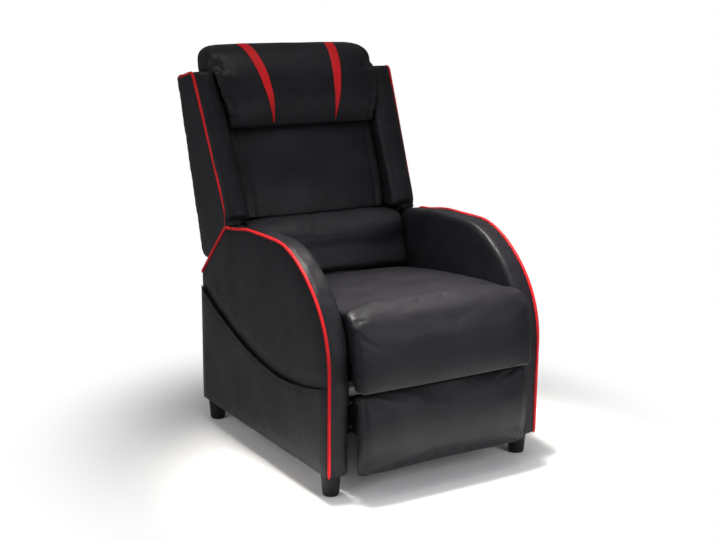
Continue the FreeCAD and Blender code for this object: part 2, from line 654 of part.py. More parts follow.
def zigzag(x):
    """Flat zigzag seat spring from the front rail to the rear rail."""
    z = SEAT_RAIL_TOP + SPRING_WIRE / 2
    start = SEAT_FRAME_FRONT + SEAT_RAIL_T / 2
    stop = SEAT_FRAME_REAR - SEAT_RAIL_T / 2
    r = (stop - start) / SPRING_WAVES / 4
    edges = []
    d = start
    side = 1
    for i in range(2 * SPRING_WAVES):
        near = x + side * SPRING_SWING / 2
        edges.append(arc(side_point(near, d, z), side_point(near + side * r, d + r, z),
                         side_point(near, d + 2 * r, z)))
        d += 2 * r
        if i < 2 * SPRING_WAVES - 1:
            edges.append(line(side_point(near, d, z), side_point(x - side * SPRING_SWING / 2, d, z)))
        side = -side
    path = Part.Wire(edges)
    ring = Part.Wire(Part.Circle(path.Vertexes[0].Point, V(1, 0, 0), SPRING_WIRE / 2).toShape())
    return path.makePipeShell([ring], True, True)


def seat_section(x, drop):
    """Side outline of the seat cushion at one place across; drop draws in its top and front."""
    base = SEAT_RAIL_TOP + SPRING_WIRE + 1
    front = -SEAT_OVERHANG + 4 + drop * 0.5
    inside = SEAT_FRAME_FRONT - 1

    def p(d, z):
        return side_point(x, d, z)

    rear = SEAT_FRAME_REAR - 2 * SOFT_GAP
    rear_low = p(rear, base)
    rear_high = p(rear, SEAT_REAR_TOP - drop)
    crest = p(SEAT_CREST_AT, SEAT_CREST - drop)
    top_mid = p((rear + SEAT_CREST_AT) / 2, (SEAT_CREST + SEAT_REAR_TOP) / 2 + SEAT_CROWN - drop)
    nose = p(front + 18, SEAT_NOSE - drop)
    nose_mid = p(front + 36, SEAT_CREST - 12 - drop)
    foot = p(front, SEAT_FRONT_BOTTOM + drop * 0.3)
    front_mid = p(front + 3, (SEAT_NOSE + SEAT_FRONT_BOTTOM) / 2)
    foot_in = p(inside, SEAT_FRONT_BOTTOM + drop * 0.3)
    step = p(inside, base)
    return Part.Wire([line(rear_low, rear_high), arc(rear_high, top_mid, crest), arc(crest, nose_mid, nose),
                      arc(nose, front_mid, foot), line(foot, foot_in), line(foot_in, step),
                      line(step, rear_low)])


def make_seat_cushion():
    sections = [seat_section(x, draw) for x, draw in drawn_in(SEAT_HALF)]
    save("seat_cushion", Part.makeLoft(sections, True, False))


def drawn_in(half):
    """Places across a cushion, with how far its outline draws in there: a rounded shoulder."""
    right = []
    for share in (1.0, 0.75, 0.5, 0.25, 0.1):
        right.append((half - SEAT_SHOULDER * (1 - share), SEAT_DRAW * (1 - math.sqrt(1 - share * share))))
    middle = [(half / 3, 0.0), (-half / 3, 0.0)]
    return right + middle + [(-x, draw) for x, draw in reversed(right)]


# Footrest

def rest_section(x, draw):
    """Side outline of the footrest pad at one place across."""
    rear = REST_REAR - REST_BOARD_T
    front = REST_FRONT + REST_CROWN + draw * 0.6

    def p(d, z):
        return side_point(x, d, z)

    top = REST_TOP - draw * 0.5
    low = REST_BOTTOM + draw * 0.5
    mid = (top + low) / 2
    return Part.Wire([line(p(rear, low), p(rear, top)),
                      arc(p(rear, top), p((rear + front) / 2 + 2, top - 2), p(front + 4, top - 14)),
                      arc(p(front + 4, top - 14), p(REST_FRONT + draw, mid), p(front + 6, low + 18)),
                      arc(p(front + 6, low + 18), p((rear + front) / 2 + 2, low + 3), p(rear, low))])


def make_footrest():
    sections = [rest_section(x, draw) for x, draw in drawn_in(SEAT_HALF)]
    save("footrest_pad", Part.makeLoft(sections, True, False))
    half = SEAT_HALF - REST_BOARD_MARGIN
    low = REST_BOTTOM + REST_BOARD_MARGIN
    high = REST_TOP - REST_BOARD_MARGIN
    save("footrest_board", front_plate([(-half, low, 20), (half, low, 20), (half, high, 6), (-half, high, 6)],
                                       REST_REAR - REST_BOARD_T, REST_REAR))
    x0, x1 = LINK_LAYER
    low = REST_PIVOT[1] - EYE_R - HEAD_T
    high = min(REST_GUIDE[1] + EYE_R, high)
    corners = [(REST_REAR, low, 3), (REST_PIVOT[0] + EYE_R + HEAD_T, low, EYE_R),
               (REST_PIVOT[0] + EYE_R + HEAD_T, REST_PIVOT[1] + EYE_R, EYE_R / 2),
               (REST_GUIDE[0] + EYE_R + HEAD_T, high, EYE_R / 2), (REST_REAR, high, 3)]
    web = side_plate(corners, x0, x1)
    flange = box(x0 - 2 * EYE_R, x1, REST_REAR, REST_REAR + PLATE, low + 4, high - 4)
    bracket = web.fuse(flange).removeSplitter()
    save_both("footrest_brackets", drilled(bracket, [REST_PIVOT, REST_GUIDE], LINK_LAYER))


# Back

def rear_face(z):
    """Depth of the back's rear face at a height."""
    return REAR_FOOT_DEPTH + (z - COVER_WIDE) * math.tan(math.radians(REAR_LEAN))


def pad_face(z):
    """Depth of the mid-back cushion's front at a height."""
    return PAD_FRONT + (z - LUMBAR_TOP) * math.tan(math.radians(PAD_LEAN))


def soft_rear(z):
    """Depth that the back's cushions reach, in front of the straps."""
    return rear_face(z) - COVER_T - FRAME_GAP - FRAME_T - STRAP_T - 1


def wing_front(z):
    return WING_LOW_DEPTH + (z - WING_LOW) * (WING_HIGH_DEPTH - WING_LOW_DEPTH) / (WING_HIGH - WING_LOW)


def wing_outer(z):
    return WING_OUT_LOW + (z - WING_LOW) * (WING_OUT_HIGH - WING_OUT_LOW) / (WING_HIGH - WING_LOW)


def wing_inner(z):
    return WING_IN_LOW + (z - WING_LOW) * (WING_IN_HIGH - WING_IN_LOW) / (WING_HIGH - WING_LOW)


def leaning_slab(x0, x1, z0, z1, front_gap, thick):
    """Flat piece parallel to the rear face; its rear stands front_gap in front of that face."""
    corners = [(rear_face(z0) - front_gap - thick, z0, 0), (rear_face(z0) - front_gap, z0, 0),
               (rear_face(z1) - front_gap, z1, 0), (rear_face(z1) - front_gap - thick, z1, 0)]
    return side_plate(corners, x0, x1)


def make_back_frame():
    gap = COVER_T + FRAME_GAP
    upright = leaning_slab(FRAME_HALF - FRAME_RAIL, FRAME_HALF, FRAME_BOTTOM, FRAME_TOP, gap, FRAME_T)
    for d, z in bracket_bolt_places():
        upright = upright.cut(rod(d, z, BOLT_R + FIT, FRAME_HALF - FRAME_RAIL - 1, FRAME_HALF + 1))
    save_both("back_uprights", upright)
    inner = FRAME_HALF - FRAME_RAIL
    rails = [leaning_slab(-inner, inner, z, z + FRAME_RAIL, gap, FRAME_T)
             for z in (COVER_BOTTOM, FRAME_MID, FRAME_TOP - FRAME_RAIL)]
    save("back_cross_rails", *rails)
    straps = []
    pitch = (FRAME_TOP - COVER_BOTTOM - FRAME_RAIL) / (STRAP_COUNT + 1)
    for i in range(STRAP_COUNT):
        z = COVER_BOTTOM + FRAME_RAIL + pitch * (i + 1) - STRAP_W / 2
        straps.append(leaning_slab(-FRAME_HALF, FRAME_HALF, z, z + STRAP_W, gap + FRAME_T, STRAP_T))
    save("back_straps", *straps)

    narrow = LUMBAR_HALF
    wide = wing_outer(COVER_WIDE) - SOFT_GAP
    top = wing_outer(COVER_TOP) - SOFT_GAP
    face = front_plate([(-narrow, COVER_BOTTOM, 20), (narrow, COVER_BOTTOM, 20),
                        (narrow, COVER_WIDE, 0), (wide, COVER_WIDE, 12), (top, COVER_TOP, 12),
                        (-top, COVER_TOP, 12), (-wide, COVER_WIDE, 12), (-narrow, COVER_WIDE, 0)],
                       0, 2 * BACK_REACH)
    slab = leaning_slab(-HALF_WIDTH, HALF_WIDTH, COVER_BOTTOM, COVER_TOP, 0, COVER_T)
    save("back_cover", slab.common(face))


def bracket_bolt_places():
    mid = COVER_T + FRAME_GAP + FRAME_T / 2
    span = BRACKET_TOP - COVER_BOTTOM
    return [(rear_face(z) - mid, z) for z in (COVER_BOTTOM + span * 0.3, COVER_BOTTOM + span * 0.8)]


def make_back_brackets():
    x0, x1 = LINK_LAYER
    low, high = bracket_bolt_places()
    knee_z = HINGE_Z + EYE_R
    knee = (low[0] + rear_face(knee_z) - rear_face(low[1]), knee_z)
    arm = bar([HINGE, knee, low, high], EYE_R + HEAD_T, LINK_LAYER)
    pad = box(FRAME_HALF, x1, low[0] - EYE_R, low[0] + EYE_R, low[1] - EYE_R, low[1] + EYE_R)
    pad2 = box(FRAME_HALF, x1, high[0] - EYE_R, high[0] + EYE_R, high[1] - EYE_R, high[1] + EYE_R)
    arm = arm.fuse([pad, pad2]).removeSplitter()
    arm = drilled(arm, [HINGE], LINK_LAYER)
    for d, z in (low, high):
        arm = arm.cut(rod(d, z, BOLT_R + FIT, FRAME_HALF - 1, x1 + 1))
    save_both("back_brackets", arm)
    bolts = [rod(d, z, BOLT_R, FRAME_HALF - FRAME_RAIL, x1).fuse(rod(d, z, HEAD_R, x1, x1 + HEAD_T))
             for d, z in (low, high)]
    save("bracket_bolts", *both(bolts))


def wing_profile(x0, x1):
    """Side outline of a wing: it stands clear of the rear slope of the arm."""
    slope = ARM_SLOPE + ARM_CLEAR * math.sqrt(2)
    knee = WING_LOW - 2 * ARM_CLEAR
    return side_plate([(wing_front(WING_HIGH), WING_HIGH, 10),
                       (wing_front(knee), knee, WING_ROUND),
                       (slope - knee, knee, WING_ROUND),
                       (slope - COVER_WIDE, COVER_WIDE, 4),
                       (rear_face(COVER_WIDE) - COVER_T - 1, COVER_WIDE, 4),
                       (rear_face(WING_REAR_TOP) - COVER_T - 1, WING_REAR_TOP, 6)], x0, x1)


def wing_board_profile(x0, x1):
    """Side outline of the board inside a wing."""
    low = LUMBAR_TOP + WING_BOARD_MARGIN
    front_top = WING_HIGH - WING_BOARD_MARGIN
    rear_top = WING_REAR_TOP - WING_BOARD_MARGIN
    inset = COVER_T + WING_BOARD_MARGIN / 2
    return side_plate([(wing_front(front_top) + WING_BOARD_MARGIN, front_top, 6),
                       (wing_front(low) + WING_BOARD_MARGIN, low, 6),
                       (rear_face(low) - inset, low, 6),
                       (rear_face(rear_top) - inset, rear_top, 6)], x0, x1)


def wing_section(z):
    front = wing_front(z)
    rear = rear_face(z) - COVER_T - 1
    xo = wing_outer(z)
    xi = wing_inner(z)

    def p(x, d):
        return side_point(x, d, z)

    return Part.Wire([line(p(xi, rear), p(xo, rear)), line(p(xo, rear), p(xo, front + WING_CROWN)),
                      arc(p(xo, front + WING_CROWN), p((xo + xi) / 2, front), p(xi, front + 1.6 * WING_CROWN)),
                      line(p(xi, front + 1.6 * WING_CROWN), p(xi, rear))])


def make_wings():
    levels = (COVER_WIDE - 30, WING_LOW, WING_HIGH + 30)
    wing = Part.makeLoft([wing_section(z) for z in levels], True, True)
    wing = wing.common(wing_profile(WING_IN_LOW - 60, HALF_WIDTH + 20))
    behind_lumbar = box(0, LUMBAR_HALF + SOFT_GAP, 0, BACK_REACH, 0, LUMBAR_TOP + SOFT_GAP)
    wing = wing.cut(behind_lumbar)
    x = WING_OUT_LOW - 2 * WING_BOARD_T
    board = wing_board_profile(x - WING_BOARD_T, x)
    save_both("wing_boards", board)
    save_pair("wing", wing.cut(board))

    tilt = math.degrees(math.atan2(WING_OUT_HIGH - WING_OUT_LOW, WING_HIGH - WING_LOW))
    x = WING_OUT_LOW - PIPING_D / 4
    inset = PIPING_D / 4 + WING_CROWN / 2
    low = WING_LOW - 2 * ARM_CLEAR + WING_ROUND
    path = Part.Wire(outline_run([(wing_front(low) + inset, low),
                                  (wing_front(WING_HIGH) + inset, WING_HIGH - 2),
                                  (rear_face(WING_REAR_TOP) - COVER_T - PIPING_D, WING_REAR_TOP)], 10, x))
    tube = welt(path, path.Edges[0].tangentAt(path.Edges[0].FirstParameter))
    tube.rotate(side_point(WING_OUT_LOW, 0, WING_LOW), V(0, 1, 0), tilt)
    save_pair("wing_piping", tube)


def outline_run(points, radius, x):
    """Open run of two lines with a rounded corner between them."""
    a, b, c = points
    la = math.hypot(a[0] - b[0], a[1] - b[1])
    lc = math.hypot(c[0] - b[0], c[1] - b[1])
    ua = ((a[0] - b[0]) / la, (a[1] - b[1]) / la)
    uc = ((c[0] - b[0]) / lc, (c[1] - b[1]) / lc)
    half = math.acos(ua[0] * uc[0] + ua[1] * uc[1]) / 2
    reach = radius / math.tan(half)
    bis = (ua[0] + uc[0], ua[1] + uc[1])
    lift = (radius / math.sin(half) - radius) / math.hypot(*bis)
    start = side_point(x, b[0] + ua[0] * reach, b[1] + ua[1] * reach)
    mid = side_point(x, b[0] + bis[0] * lift, b[1] + bis[1] * lift)
    stop = side_point(x, b[0] + uc[0] * reach, b[1] + uc[1] * reach)
    return [line(side_point(x, *a), start), arc(start, mid, stop), line(stop, side_point(x, *c))]


def pad_section(z, half, front, rear, crown):
    """Level outline of a cushion: flat rear, drawn-in sides, crowned front."""
    side = front + crown + (rear - front - crown) * 0.25

    def p(x, d):
        return side_point(x, d, z)

    shoulder = half - 18
    return Part.Wire([line(p(-half, rear), p(half, rear)), line(p(half, rear), p(half, side)),
                      arc(p(half, side), p(half - 5, side - (side - front - crown) * 0.72),
                          p(shoulder, front + crown)),
                      arc(p(shoulder, front + crown), p(0, front), p(-shoulder, front + crown)),
                      arc(p(-shoulder, front + crown), p(-half + 5, side - (side - front - crown) * 0.72),
                          p(-half, side)),
                      line(p(-half, side), p(-half, rear))])


def make_back_cushions():
    rise = LUMBAR_TOP - LUMBAR_BOTTOM
    shape = [(0.0, 4.0, 12.0), (0.08, 1.5, 1.0), (0.22, 0.0, 8.0), (0.6, 0.0, 26.0), (0.9, 1.5, 41.0),
             (1.0, 5.0, 66.0)]
    levels = []
    for share, narrow, back_off in shape:
        z = LUMBAR_BOTTOM + rise * share
        front = LUMBAR_FRONT + back_off
        levels.append(pad_section(z, LUMBAR_HALF - narrow, front, soft_rear(z), PAD_CROWN))
    save("lumbar_cushion", Part.makeLoft(levels, True, False))

    low = LUMBAR_TOP + SOFT_GAP
    high = PILLOW_BOTTOM - SOFT_GAP
    levels = []
    for share, back_off in ((0.0, 12.0), (0.15, 2.0), (0.5, 0.0), (0.85, 2.0), (1.0, 10.0)):
        z = low + (high - low) * share
        front = pad_face(z) + back_off
        levels.append(pad_section(z, wing_inner(z) - SOFT_GAP, front, soft_rear(z), PAD_CROWN))
    save("back_cushion", Part.makeLoft(levels, True, False))


def pillow_levels():
    """Height, half width, front depth and rear depth of the headrest pillow."""
    low = PILLOW_BOTTOM
    face = pad_face(low)
    top = PILLOW_TOP
    tuck = FRAME_TOP + SOFT_GAP
    over = COVER_TOP + SOFT_GAP
    bulge = low + 30
    return [(low, wing_inner(low) - 10, face - 2, soft_rear(low) - PILLOW_EASE),
            (bulge, wing_inner(bulge) - 7, face - 12, soft_rear(bulge) - PILLOW_EASE),
            (tuck, wing_inner(tuck) - 6, face + 16, soft_rear(tuck) - PILLOW_EASE),
            (over, wing_inner(over) - 6, face + 32, rear_face(over) - COVER_T - 20),
            (WING_HIGH + 22, WING_IN_HIGH + 26, face + 50, BACK_REACH - 5),
            (WING_HIGH + 40, WING_IN_HIGH + 25, face + 66, BACK_REACH),
            (top - 10, WING_IN_HIGH + 11, face + 86, BACK_REACH - 4),
            (top, WING_IN_HIGH - 11, face + 110, BACK_REACH - 22)]


def wing_room():
    """Space round a wing that the pillow keeps out of."""
    low = LUMBAR_TOP
    high = PILLOW_TOP
    wide = HALF_WIDTH + WING_CROWN
    beside = front_plate([(wing_inner(low) - SOFT_GAP, low, 0), (wide, low, 0), (wide, high, 0),
                          (wing_inner(high) - SOFT_GAP, high, 0)], 0, 2 * BACK_REACH)
    front = wing_front(WING_HIGH)
    fall = WING_REAR_DROP / (rear_face(WING_REAR_TOP) - COVER_T - front)
    top = WING_HIGH + SOFT_GAP
    far = 2 * BACK_REACH
    under = side_plate([(0, low, 0), (far, low, 0), (far, top - fall * (far - front), 0),
                        (front, top, 0), (0, top, 0)], 0, wide)
    return beside.common(under)


def frame_room():
    """Space of the back's frame and straps that the pillow keeps out of."""
    half = FRAME_HALF + SOFT_GAP
    thick = COVER_T + FRAME_GAP + FRAME_T + STRAP_T + 1
    return leaning_slab(-half, half, LUMBAR_TOP, FRAME_TOP + SOFT_GAP, 0, thick)


def make_pillow():
    sections = [pad_section(z, half, front, rear, PILLOW_CROWN) for z, half, front, rear in pillow_levels()]
    pillow = Part.makeLoft(sections, True, False).cut(both([wing_room()]) + [frame_room()])
    save("headrest_pillow", pillow)

    ahead = pillow.copy()
    ahead.translate(V(0, -STRIPE_T, STRIPE_T / 2))
    skin = ahead.cut(pillow)
    low = PILLOW_BOTTOM + 6
    high = PILLOW_TOP - 6
    y = pad_face(PILLOW_BOTTOM) - 60

    def p(x, z):
        return side_point(x, y, z)

    mid = (low + high) / 2
    inner_mid = (STRIPE_TOP_X + STRIPE_FOOT_X) / 2 + STRIPE_BOW - STRIPE_W / 4
    outer_mid = (STRIPE_TOP_X + STRIPE_FOOT_X) / 2 + STRIPE_BOW + STRIPE_W / 2
    foot = p(STRIPE_FOOT_X, low)
    inner = p(STRIPE_TOP_X - STRIPE_W / 2, high)
    outer = p(STRIPE_TOP_X + STRIPE_W / 2, high)
    blade = Part.Wire([arc(foot, p(inner_mid, mid), inner), line(inner, outer),
                       arc(outer, p(outer_mid, mid), foot)])
    prism = Part.Face(blade).extrude(V(0, BACK_REACH, 0))
    save_both("headrest_stripes", skin.common(prism))


os.makedirs("parts", exist_ok=True)
make_arms()
make_pockets()
make_feet()
make_base()
make_swing_links()
make_footrest_links()
make_seat_frame()
make_seat_cushion()
make_footrest()
make_back_frame()
make_back_brackets()
make_wings()
make_back_cushions()
make_pillow()
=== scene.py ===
import json
import math

import bpy
import bmesh
import numpy as np
from mathutils import Matrix, Vector
from mathutils.bvhtree import BVHTree
from mathutils.kdtree import KDTree


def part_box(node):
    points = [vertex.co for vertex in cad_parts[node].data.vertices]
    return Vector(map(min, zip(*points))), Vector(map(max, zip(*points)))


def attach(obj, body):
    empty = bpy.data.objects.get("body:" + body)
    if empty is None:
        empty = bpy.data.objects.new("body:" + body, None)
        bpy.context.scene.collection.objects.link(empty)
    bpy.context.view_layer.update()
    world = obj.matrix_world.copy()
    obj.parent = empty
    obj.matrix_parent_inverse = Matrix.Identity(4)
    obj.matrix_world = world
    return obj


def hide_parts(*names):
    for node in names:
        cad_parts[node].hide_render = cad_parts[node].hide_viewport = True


# A push-back gaming recliner: upholstery, piping, feet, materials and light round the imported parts.
# The chair faces -Y, and lengths below are in metres unless a name says otherwise.

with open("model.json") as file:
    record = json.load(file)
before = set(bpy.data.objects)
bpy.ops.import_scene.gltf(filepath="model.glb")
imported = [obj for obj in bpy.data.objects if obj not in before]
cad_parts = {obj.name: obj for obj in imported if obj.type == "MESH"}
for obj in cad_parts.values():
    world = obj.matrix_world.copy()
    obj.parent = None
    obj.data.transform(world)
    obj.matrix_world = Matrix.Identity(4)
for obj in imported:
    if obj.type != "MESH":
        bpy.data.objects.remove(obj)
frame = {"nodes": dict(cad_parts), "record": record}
NODES = frame["nodes"]
SCENE = bpy.context.scene
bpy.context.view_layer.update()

# Arm outline, as in the part's source
ARM_FRONT = -0.392
ARM_IN = 0.255
ARM_OUT = 0.312
ARM_DEPTH = 0.707
ARM_TOP = 0.577
ARM_CURVE = 0.270
ARM_SLOPE = 1.127
ARM_CORNER = 0.040
ARM_HEEL = 0.014
ARM_CROWN = 0.015
FOOT_H = 0.057
PIPING_R = 0.004

# Arm cover: how far the padding takes to fill out, how much it bulges, and its seam beside the piping
ARM_FILL = 0.035
ARM_SLACK = 0.0012
ARM_BULGE = 0.0050
ARM_SEAM_IN = 0.0075

# Pocket: panel, hem, and heights of its mouth at the front, at the lowest point and at the rear
POCKET_INSET = 0.006
POCKET_GAP = 0.0016
POCKET_LOOSE = 0.0062
POCKET_SKIN = 0.0016
HEM_R = 0.0019
MOUTH_FRONT = 0.280
MOUTH_LOW = 0.246
MOUTH_LOW_AT = 0.230
MOUTH_REAR = 0.385

# Wing edges: heights, depths and half widths
WING_LOW = 0.601
WING_HIGH = 0.971
WING_LOW_DEPTH = 0.563
WING_HIGH_DEPTH = 0.726
WING_OUT_LOW = 0.300
WING_OUT_HIGH = 0.317
WING_CROWN = 0.014
WING_REAR_TOP = 0.947
WING_TOP_RUN = 0.108
WING_FOOT_DEPTHS = (0.606, 0.600, 0.594, 0.588, 0.583, 0.579)

# Seat: rounding of its ends, crown, the wider lip in front of the arms, and the pinched corners
SEAT_END_R = 0.016
SEAT_CROWN = 0.004
LIP_CLEAR = 0.005
LIP_FADE = 0.016
LIP_WIDER = 0.036
PINCH_DEEP = 0.0026
PINCH_R = 0.028

# Leather over bare rails
COVER_T = 0.0016

# Mid-back: how far its top leans back, half width at the foot, flare, and seam in from the edge
MID_LEAN = 0.007
MID_HALF = 0.226
MID_FLARE = 0.008
MID_SEAM_IN = 0.030

# Pillow: depth of its front panel by height, then the block between the wings, the lobe in front of
# them and the crown above them, each by height
PILLOW_Z = (0.812, 0.822, 0.840, 0.870, 0.900, 0.940, 0.975, 1.000, 1.018, 1.030, 1.037)
PILLOW_FRONT = (0.681, 0.674, 0.670, 0.673, 0.681, 0.696, 0.712, 0.728, 0.747, 0.771, 0.797)
INNER_HALF_LOW = 0.2275
INNER_HALF_HIGH = 0.2385
INNER_TOP = 0.986
INNER_Z = (0.812, 0.900, 0.945, 0.960, INNER_TOP)
INNER_REAR = (0.735, 0.765, 0.795, 0.812, 0.826)
LOBE_Z = (0.850, 0.870, 0.900, 0.930, 0.960, INNER_TOP)
LOBE_HALF = (0.236, 0.243, 0.250, 0.256, 0.261, 0.263)
LOBE_REAR_HIGH = 0.780
CROWN_Z = (0.976, 0.988, 1.000, 1.012, 1.022, 1.030, 1.038)
CROWN_HALF = (0.256, 0.263, 0.264, 0.261, 0.254, 0.243, 0.222)
CROWN_REAR = (0.834, 0.842, 0.845, 0.845, 0.842, 0.835, 0.820)
SADDLE_X = (0.234, 0.243)
SADDLE_Z = 0.978
SADDLE_FADE = (0.980, 1.008)
PILLOW_HELD_Z = 0.965
PILLOW_SEAM_Z = (0.812, 0.850, 0.900, 0.960, 1.000, 1.030, 1.040)
PILLOW_SEAM_X = (0.214, 0.216, 0.226, 0.236, 0.238, 0.228, 0.216)

# Red blades on the pillow: the rays that lay them down, with angles in degrees, and their outline
STRIPE_CENTRE_BACK = 0.012
STRIPE_CENTRE_UP = 0.112
STRIPE_AWAY = 0.4
STRIPE_FROM = -62.0
STRIPE_SWING = 170.0
STRIPE_RAYS = 160
STRIPE_TEST_X = 0.125
STRIPE_FOOT_UP = 0.010
STRIPE_FOOT_X = 0.099
STRIPE_HEAD_OUT = 0.041
STRIPE_WIDE = 0.030
STRIPE_SKIN = 0.0012

# Mesh sizes
VOXEL = 0.006
SEAT_VOXEL = 0.0055
FINE_VOXEL = 0.005

# Leather as cloth while a cushion is filled
CLOTH = {"quality": 4, "mass": 0.35, "tension_stiffness": 22.0, "compression_stiffness": 14.0,
         "shear_stiffness": 8.0, "bending_stiffness": 0.9, "tension_damping": 12.0,
         "compression_damping": 12.0, "shear_damping": 8.0, "air_damping": 2.0}

# Light: place, size, power, colour, target and spread in degrees
MID_CHAIR = (0.0, 0.0, 0.45)
LAMPS = {"key_light": ((0.55, -1.75, 0.75), 1.0, 4.2, (0.97, 0.975, 1.0), (0.0, -0.4, 0.20), 100.0),
         "top_light": ((0.0, -0.2, 3.1), 1.3, 26.0, (1.0, 0.98, 0.95), MID_CHAIR, 180.0),
         "seat_light": ((-0.15, -0.02, 2.7), 0.4, 10.5, (1.0, 0.95, 0.89), (0.0, -0.40, 0.42), 32.0),
         "fill_light": ((-2.8, -0.6, 1.6), 2.0, 32.0, (0.96, 0.97, 1.0), MID_CHAIR, 180.0)}
AMBIENT = 0.21
FLOOR_HALF = 14.0
FLOOR_DROP = 0.0004

# Camera: angles in degrees, its place seen from a target, and the focal length in the photograph's pixels
CAMERA_AZ = -31.7
CAMERA_EL = 13.1
CAMERA_ROLL = 0.5
CAMERA_TARGET = (0.0, -0.092, 0.450)
CAMERA_ASIDE = 0.0442
CAMERA_ABOVE = -0.0219
CAMERA_AWAY = 3.2783
FOCAL_PX = 1245.9
PHOTO_WIDE_PX = 716.0
SENSOR = 36.0


# Camera

def make_camera():
    """Camera as solved from the photograph."""
    az = math.radians(CAMERA_AZ)
    el = math.radians(CAMERA_EL)
    roll = math.radians(CAMERA_ROLL)
    back = Vector((math.sin(az) * math.cos(el), -math.cos(az) * math.cos(el), math.sin(el)))
    right = Vector((math.cos(az), math.sin(az), 0.0))
    up = back.cross(right)
    x_axis = right * math.cos(roll) + up * math.sin(roll)
    y_axis = up * math.cos(roll) - right * math.sin(roll)
    data = bpy.data.cameras.new("camera")
    data.sensor_width = SENSOR
    data.lens = FOCAL_PX * SENSOR / PHOTO_WIDE_PX
    camera = bpy.data.objects.new("camera", data)
    SCENE.collection.objects.link(camera)
    place = Vector(CAMERA_TARGET) - x_axis * CAMERA_ASIDE - y_axis * CAMERA_ABOVE + back * CAMERA_AWAY
    matrix = Matrix((x_axis, y_axis, back)).transposed().to_4x4()
    matrix.translation = place
    camera.matrix_world = matrix
    SCENE.camera = camera


# Materials

def node(tree, kind, **values):
    """Adds a shader node and sets its values."""
    made = tree.nodes.new(kind)
    for key, value in values.items():
        setattr(made, key, value)
    return made


def new_material(name, rough, specular=0.5, metallic=0.0):
    """New material with its tree, shader and place output."""
    mat = bpy.data.materials.new(name)
    mat.use_nodes = True
    tree = mat.node_tree
    shader = tree.nodes["Principled BSDF"]
    shader.inputs["Roughness"].default_value = rough
    shader.inputs["Specular IOR Level"].default_value = specular
    shader.inputs["Metallic"].default_value = metallic
    place = node(tree, "ShaderNodeTexCoord").outputs["Object"]
    return mat, tree, shader, place


def noise_at(tree, place, scale, detail=3.0, rough=0.55):
    """Value of a noise texture."""
    tex = node(tree, "ShaderNodeTexNoise")
    tex.inputs["Scale"].default_value = scale
    tex.inputs["Detail"].default_value = detail
    tex.inputs["Roughness"].default_value = rough
    tree.links.new(place, tex.inputs["Vector"])
    return tex.outputs["Fac"]


def ramp(tree, value, low, high, low_colour, high_colour):
    """Colour between two colours by a value."""
    made = node(tree, "ShaderNodeValToRGB")
    made.color_ramp.elements[0].position = low
    made.color_ramp.elements[1].position = high
    made.color_ramp.elements[0].color = (*low_colour, 1.0)
    made.color_ramp.elements[1].color = (*high_colour, 1.0)
    tree.links.new(value, made.inputs["Fac"])
    return made.outputs["Color"]


def spread(tree, value, low, high):
    """Maps a 0 to 1 value onto a range."""
    made = node(tree, "ShaderNodeMapRange")
    made.inputs["To Min"].default_value = low
    made.inputs["To Max"].default_value = high
    tree.links.new(value, made.inputs["Value"])
    return made.outputs["Result"]


def bump(tree, height, strength, distance, before=None):
    """Normal bent by a height, on top of an earlier one."""
    made = node(tree, "ShaderNodeBump")
    made.inputs["Strength"].default_value = strength
    made.inputs["Distance"].default_value = distance
    tree.links.new(height, made.inputs["Height"])
    if before is not None:
        tree.links.new(before, made.inputs["Normal"])
    return made.outputs["Normal"]


def leather(name, dark, light, rough_low, rough_high, specular, grain):
    """Soft-grained leather: pebbles, fine pores, gentle unevenness and cloudy colour."""
    mat, tree, shader, place = new_material(name, rough_low, specular)
    clouds = noise_at(tree, place, 11.0, 4.0)
    tree.links.new(ramp(tree, clouds, 0.32, 0.70, dark, light), shader.inputs["Base Color"])
    patches = noise_at(tree, place, 38.0, 5.0, 0.6)
    tree.links.new(spread(tree, patches, rough_low, rough_high), shader.inputs["Roughness"])
    pebbles = node(tree, "ShaderNodeTexVoronoi", feature="SMOOTH_F1")
    pebbles.inputs["Scale"].default_value = grain
    pebbles.inputs["Smoothness"].default_value = 0.6
    tree.links.new(place, pebbles.inputs["Vector"])
    pores = noise_at(tree, place, grain * 2.4, 2.0)
    uneven = noise_at(tree, place, 55.0, 3.0)
    normal = bump(tree, uneven, 0.22, 0.0022)
    normal = bump(tree, pebbles.outputs["Distance"], 0.24, 0.0007, normal)
    normal = bump(tree, pores, 0.08, 0.0003, normal)
    tree.links.new(normal, shader.inputs["Normal"])
    return mat


def moulded(name, dark, light, rough):
    """Moulded plastic with a fine sparked texture."""
    mat, tree, shader, place = new_material(name, rough, 0.2)
    tree.links.new(ramp(tree, noise_at(tree, place, 60.0, 4.0), 0.3, 0.75, dark, light),
                   shader.inputs["Base Color"])
    tree.links.new(spread(tree, noise_at(tree, place, 120.0), rough - 0.07, rough + 0.09),
                   shader.inputs["Roughness"])
    tree.links.new(bump(tree, noise_at(tree, place, 1500.0, 2.0), 0.2, 0.0003), shader.inputs["Normal"])
    return mat


def powder_coat(name, dark, light):
    """Black powder coat with orange peel."""
    mat, tree, shader, place = new_material(name, 0.42, 0.5)
    tree.links.new(ramp(tree, noise_at(tree, place, 25.0, 5.0), 0.3, 0.75, dark, light),
                   shader.inputs["Base Color"])
    tree.links.new(spread(tree, noise_at(tree, place, 70.0), 0.34, 0.52), shader.inputs["Roughness"])
    tree.links.new(bump(tree, noise_at(tree, place, 700.0, 2.0), 0.25, 0.0004), shader.inputs["Normal"])
    return mat


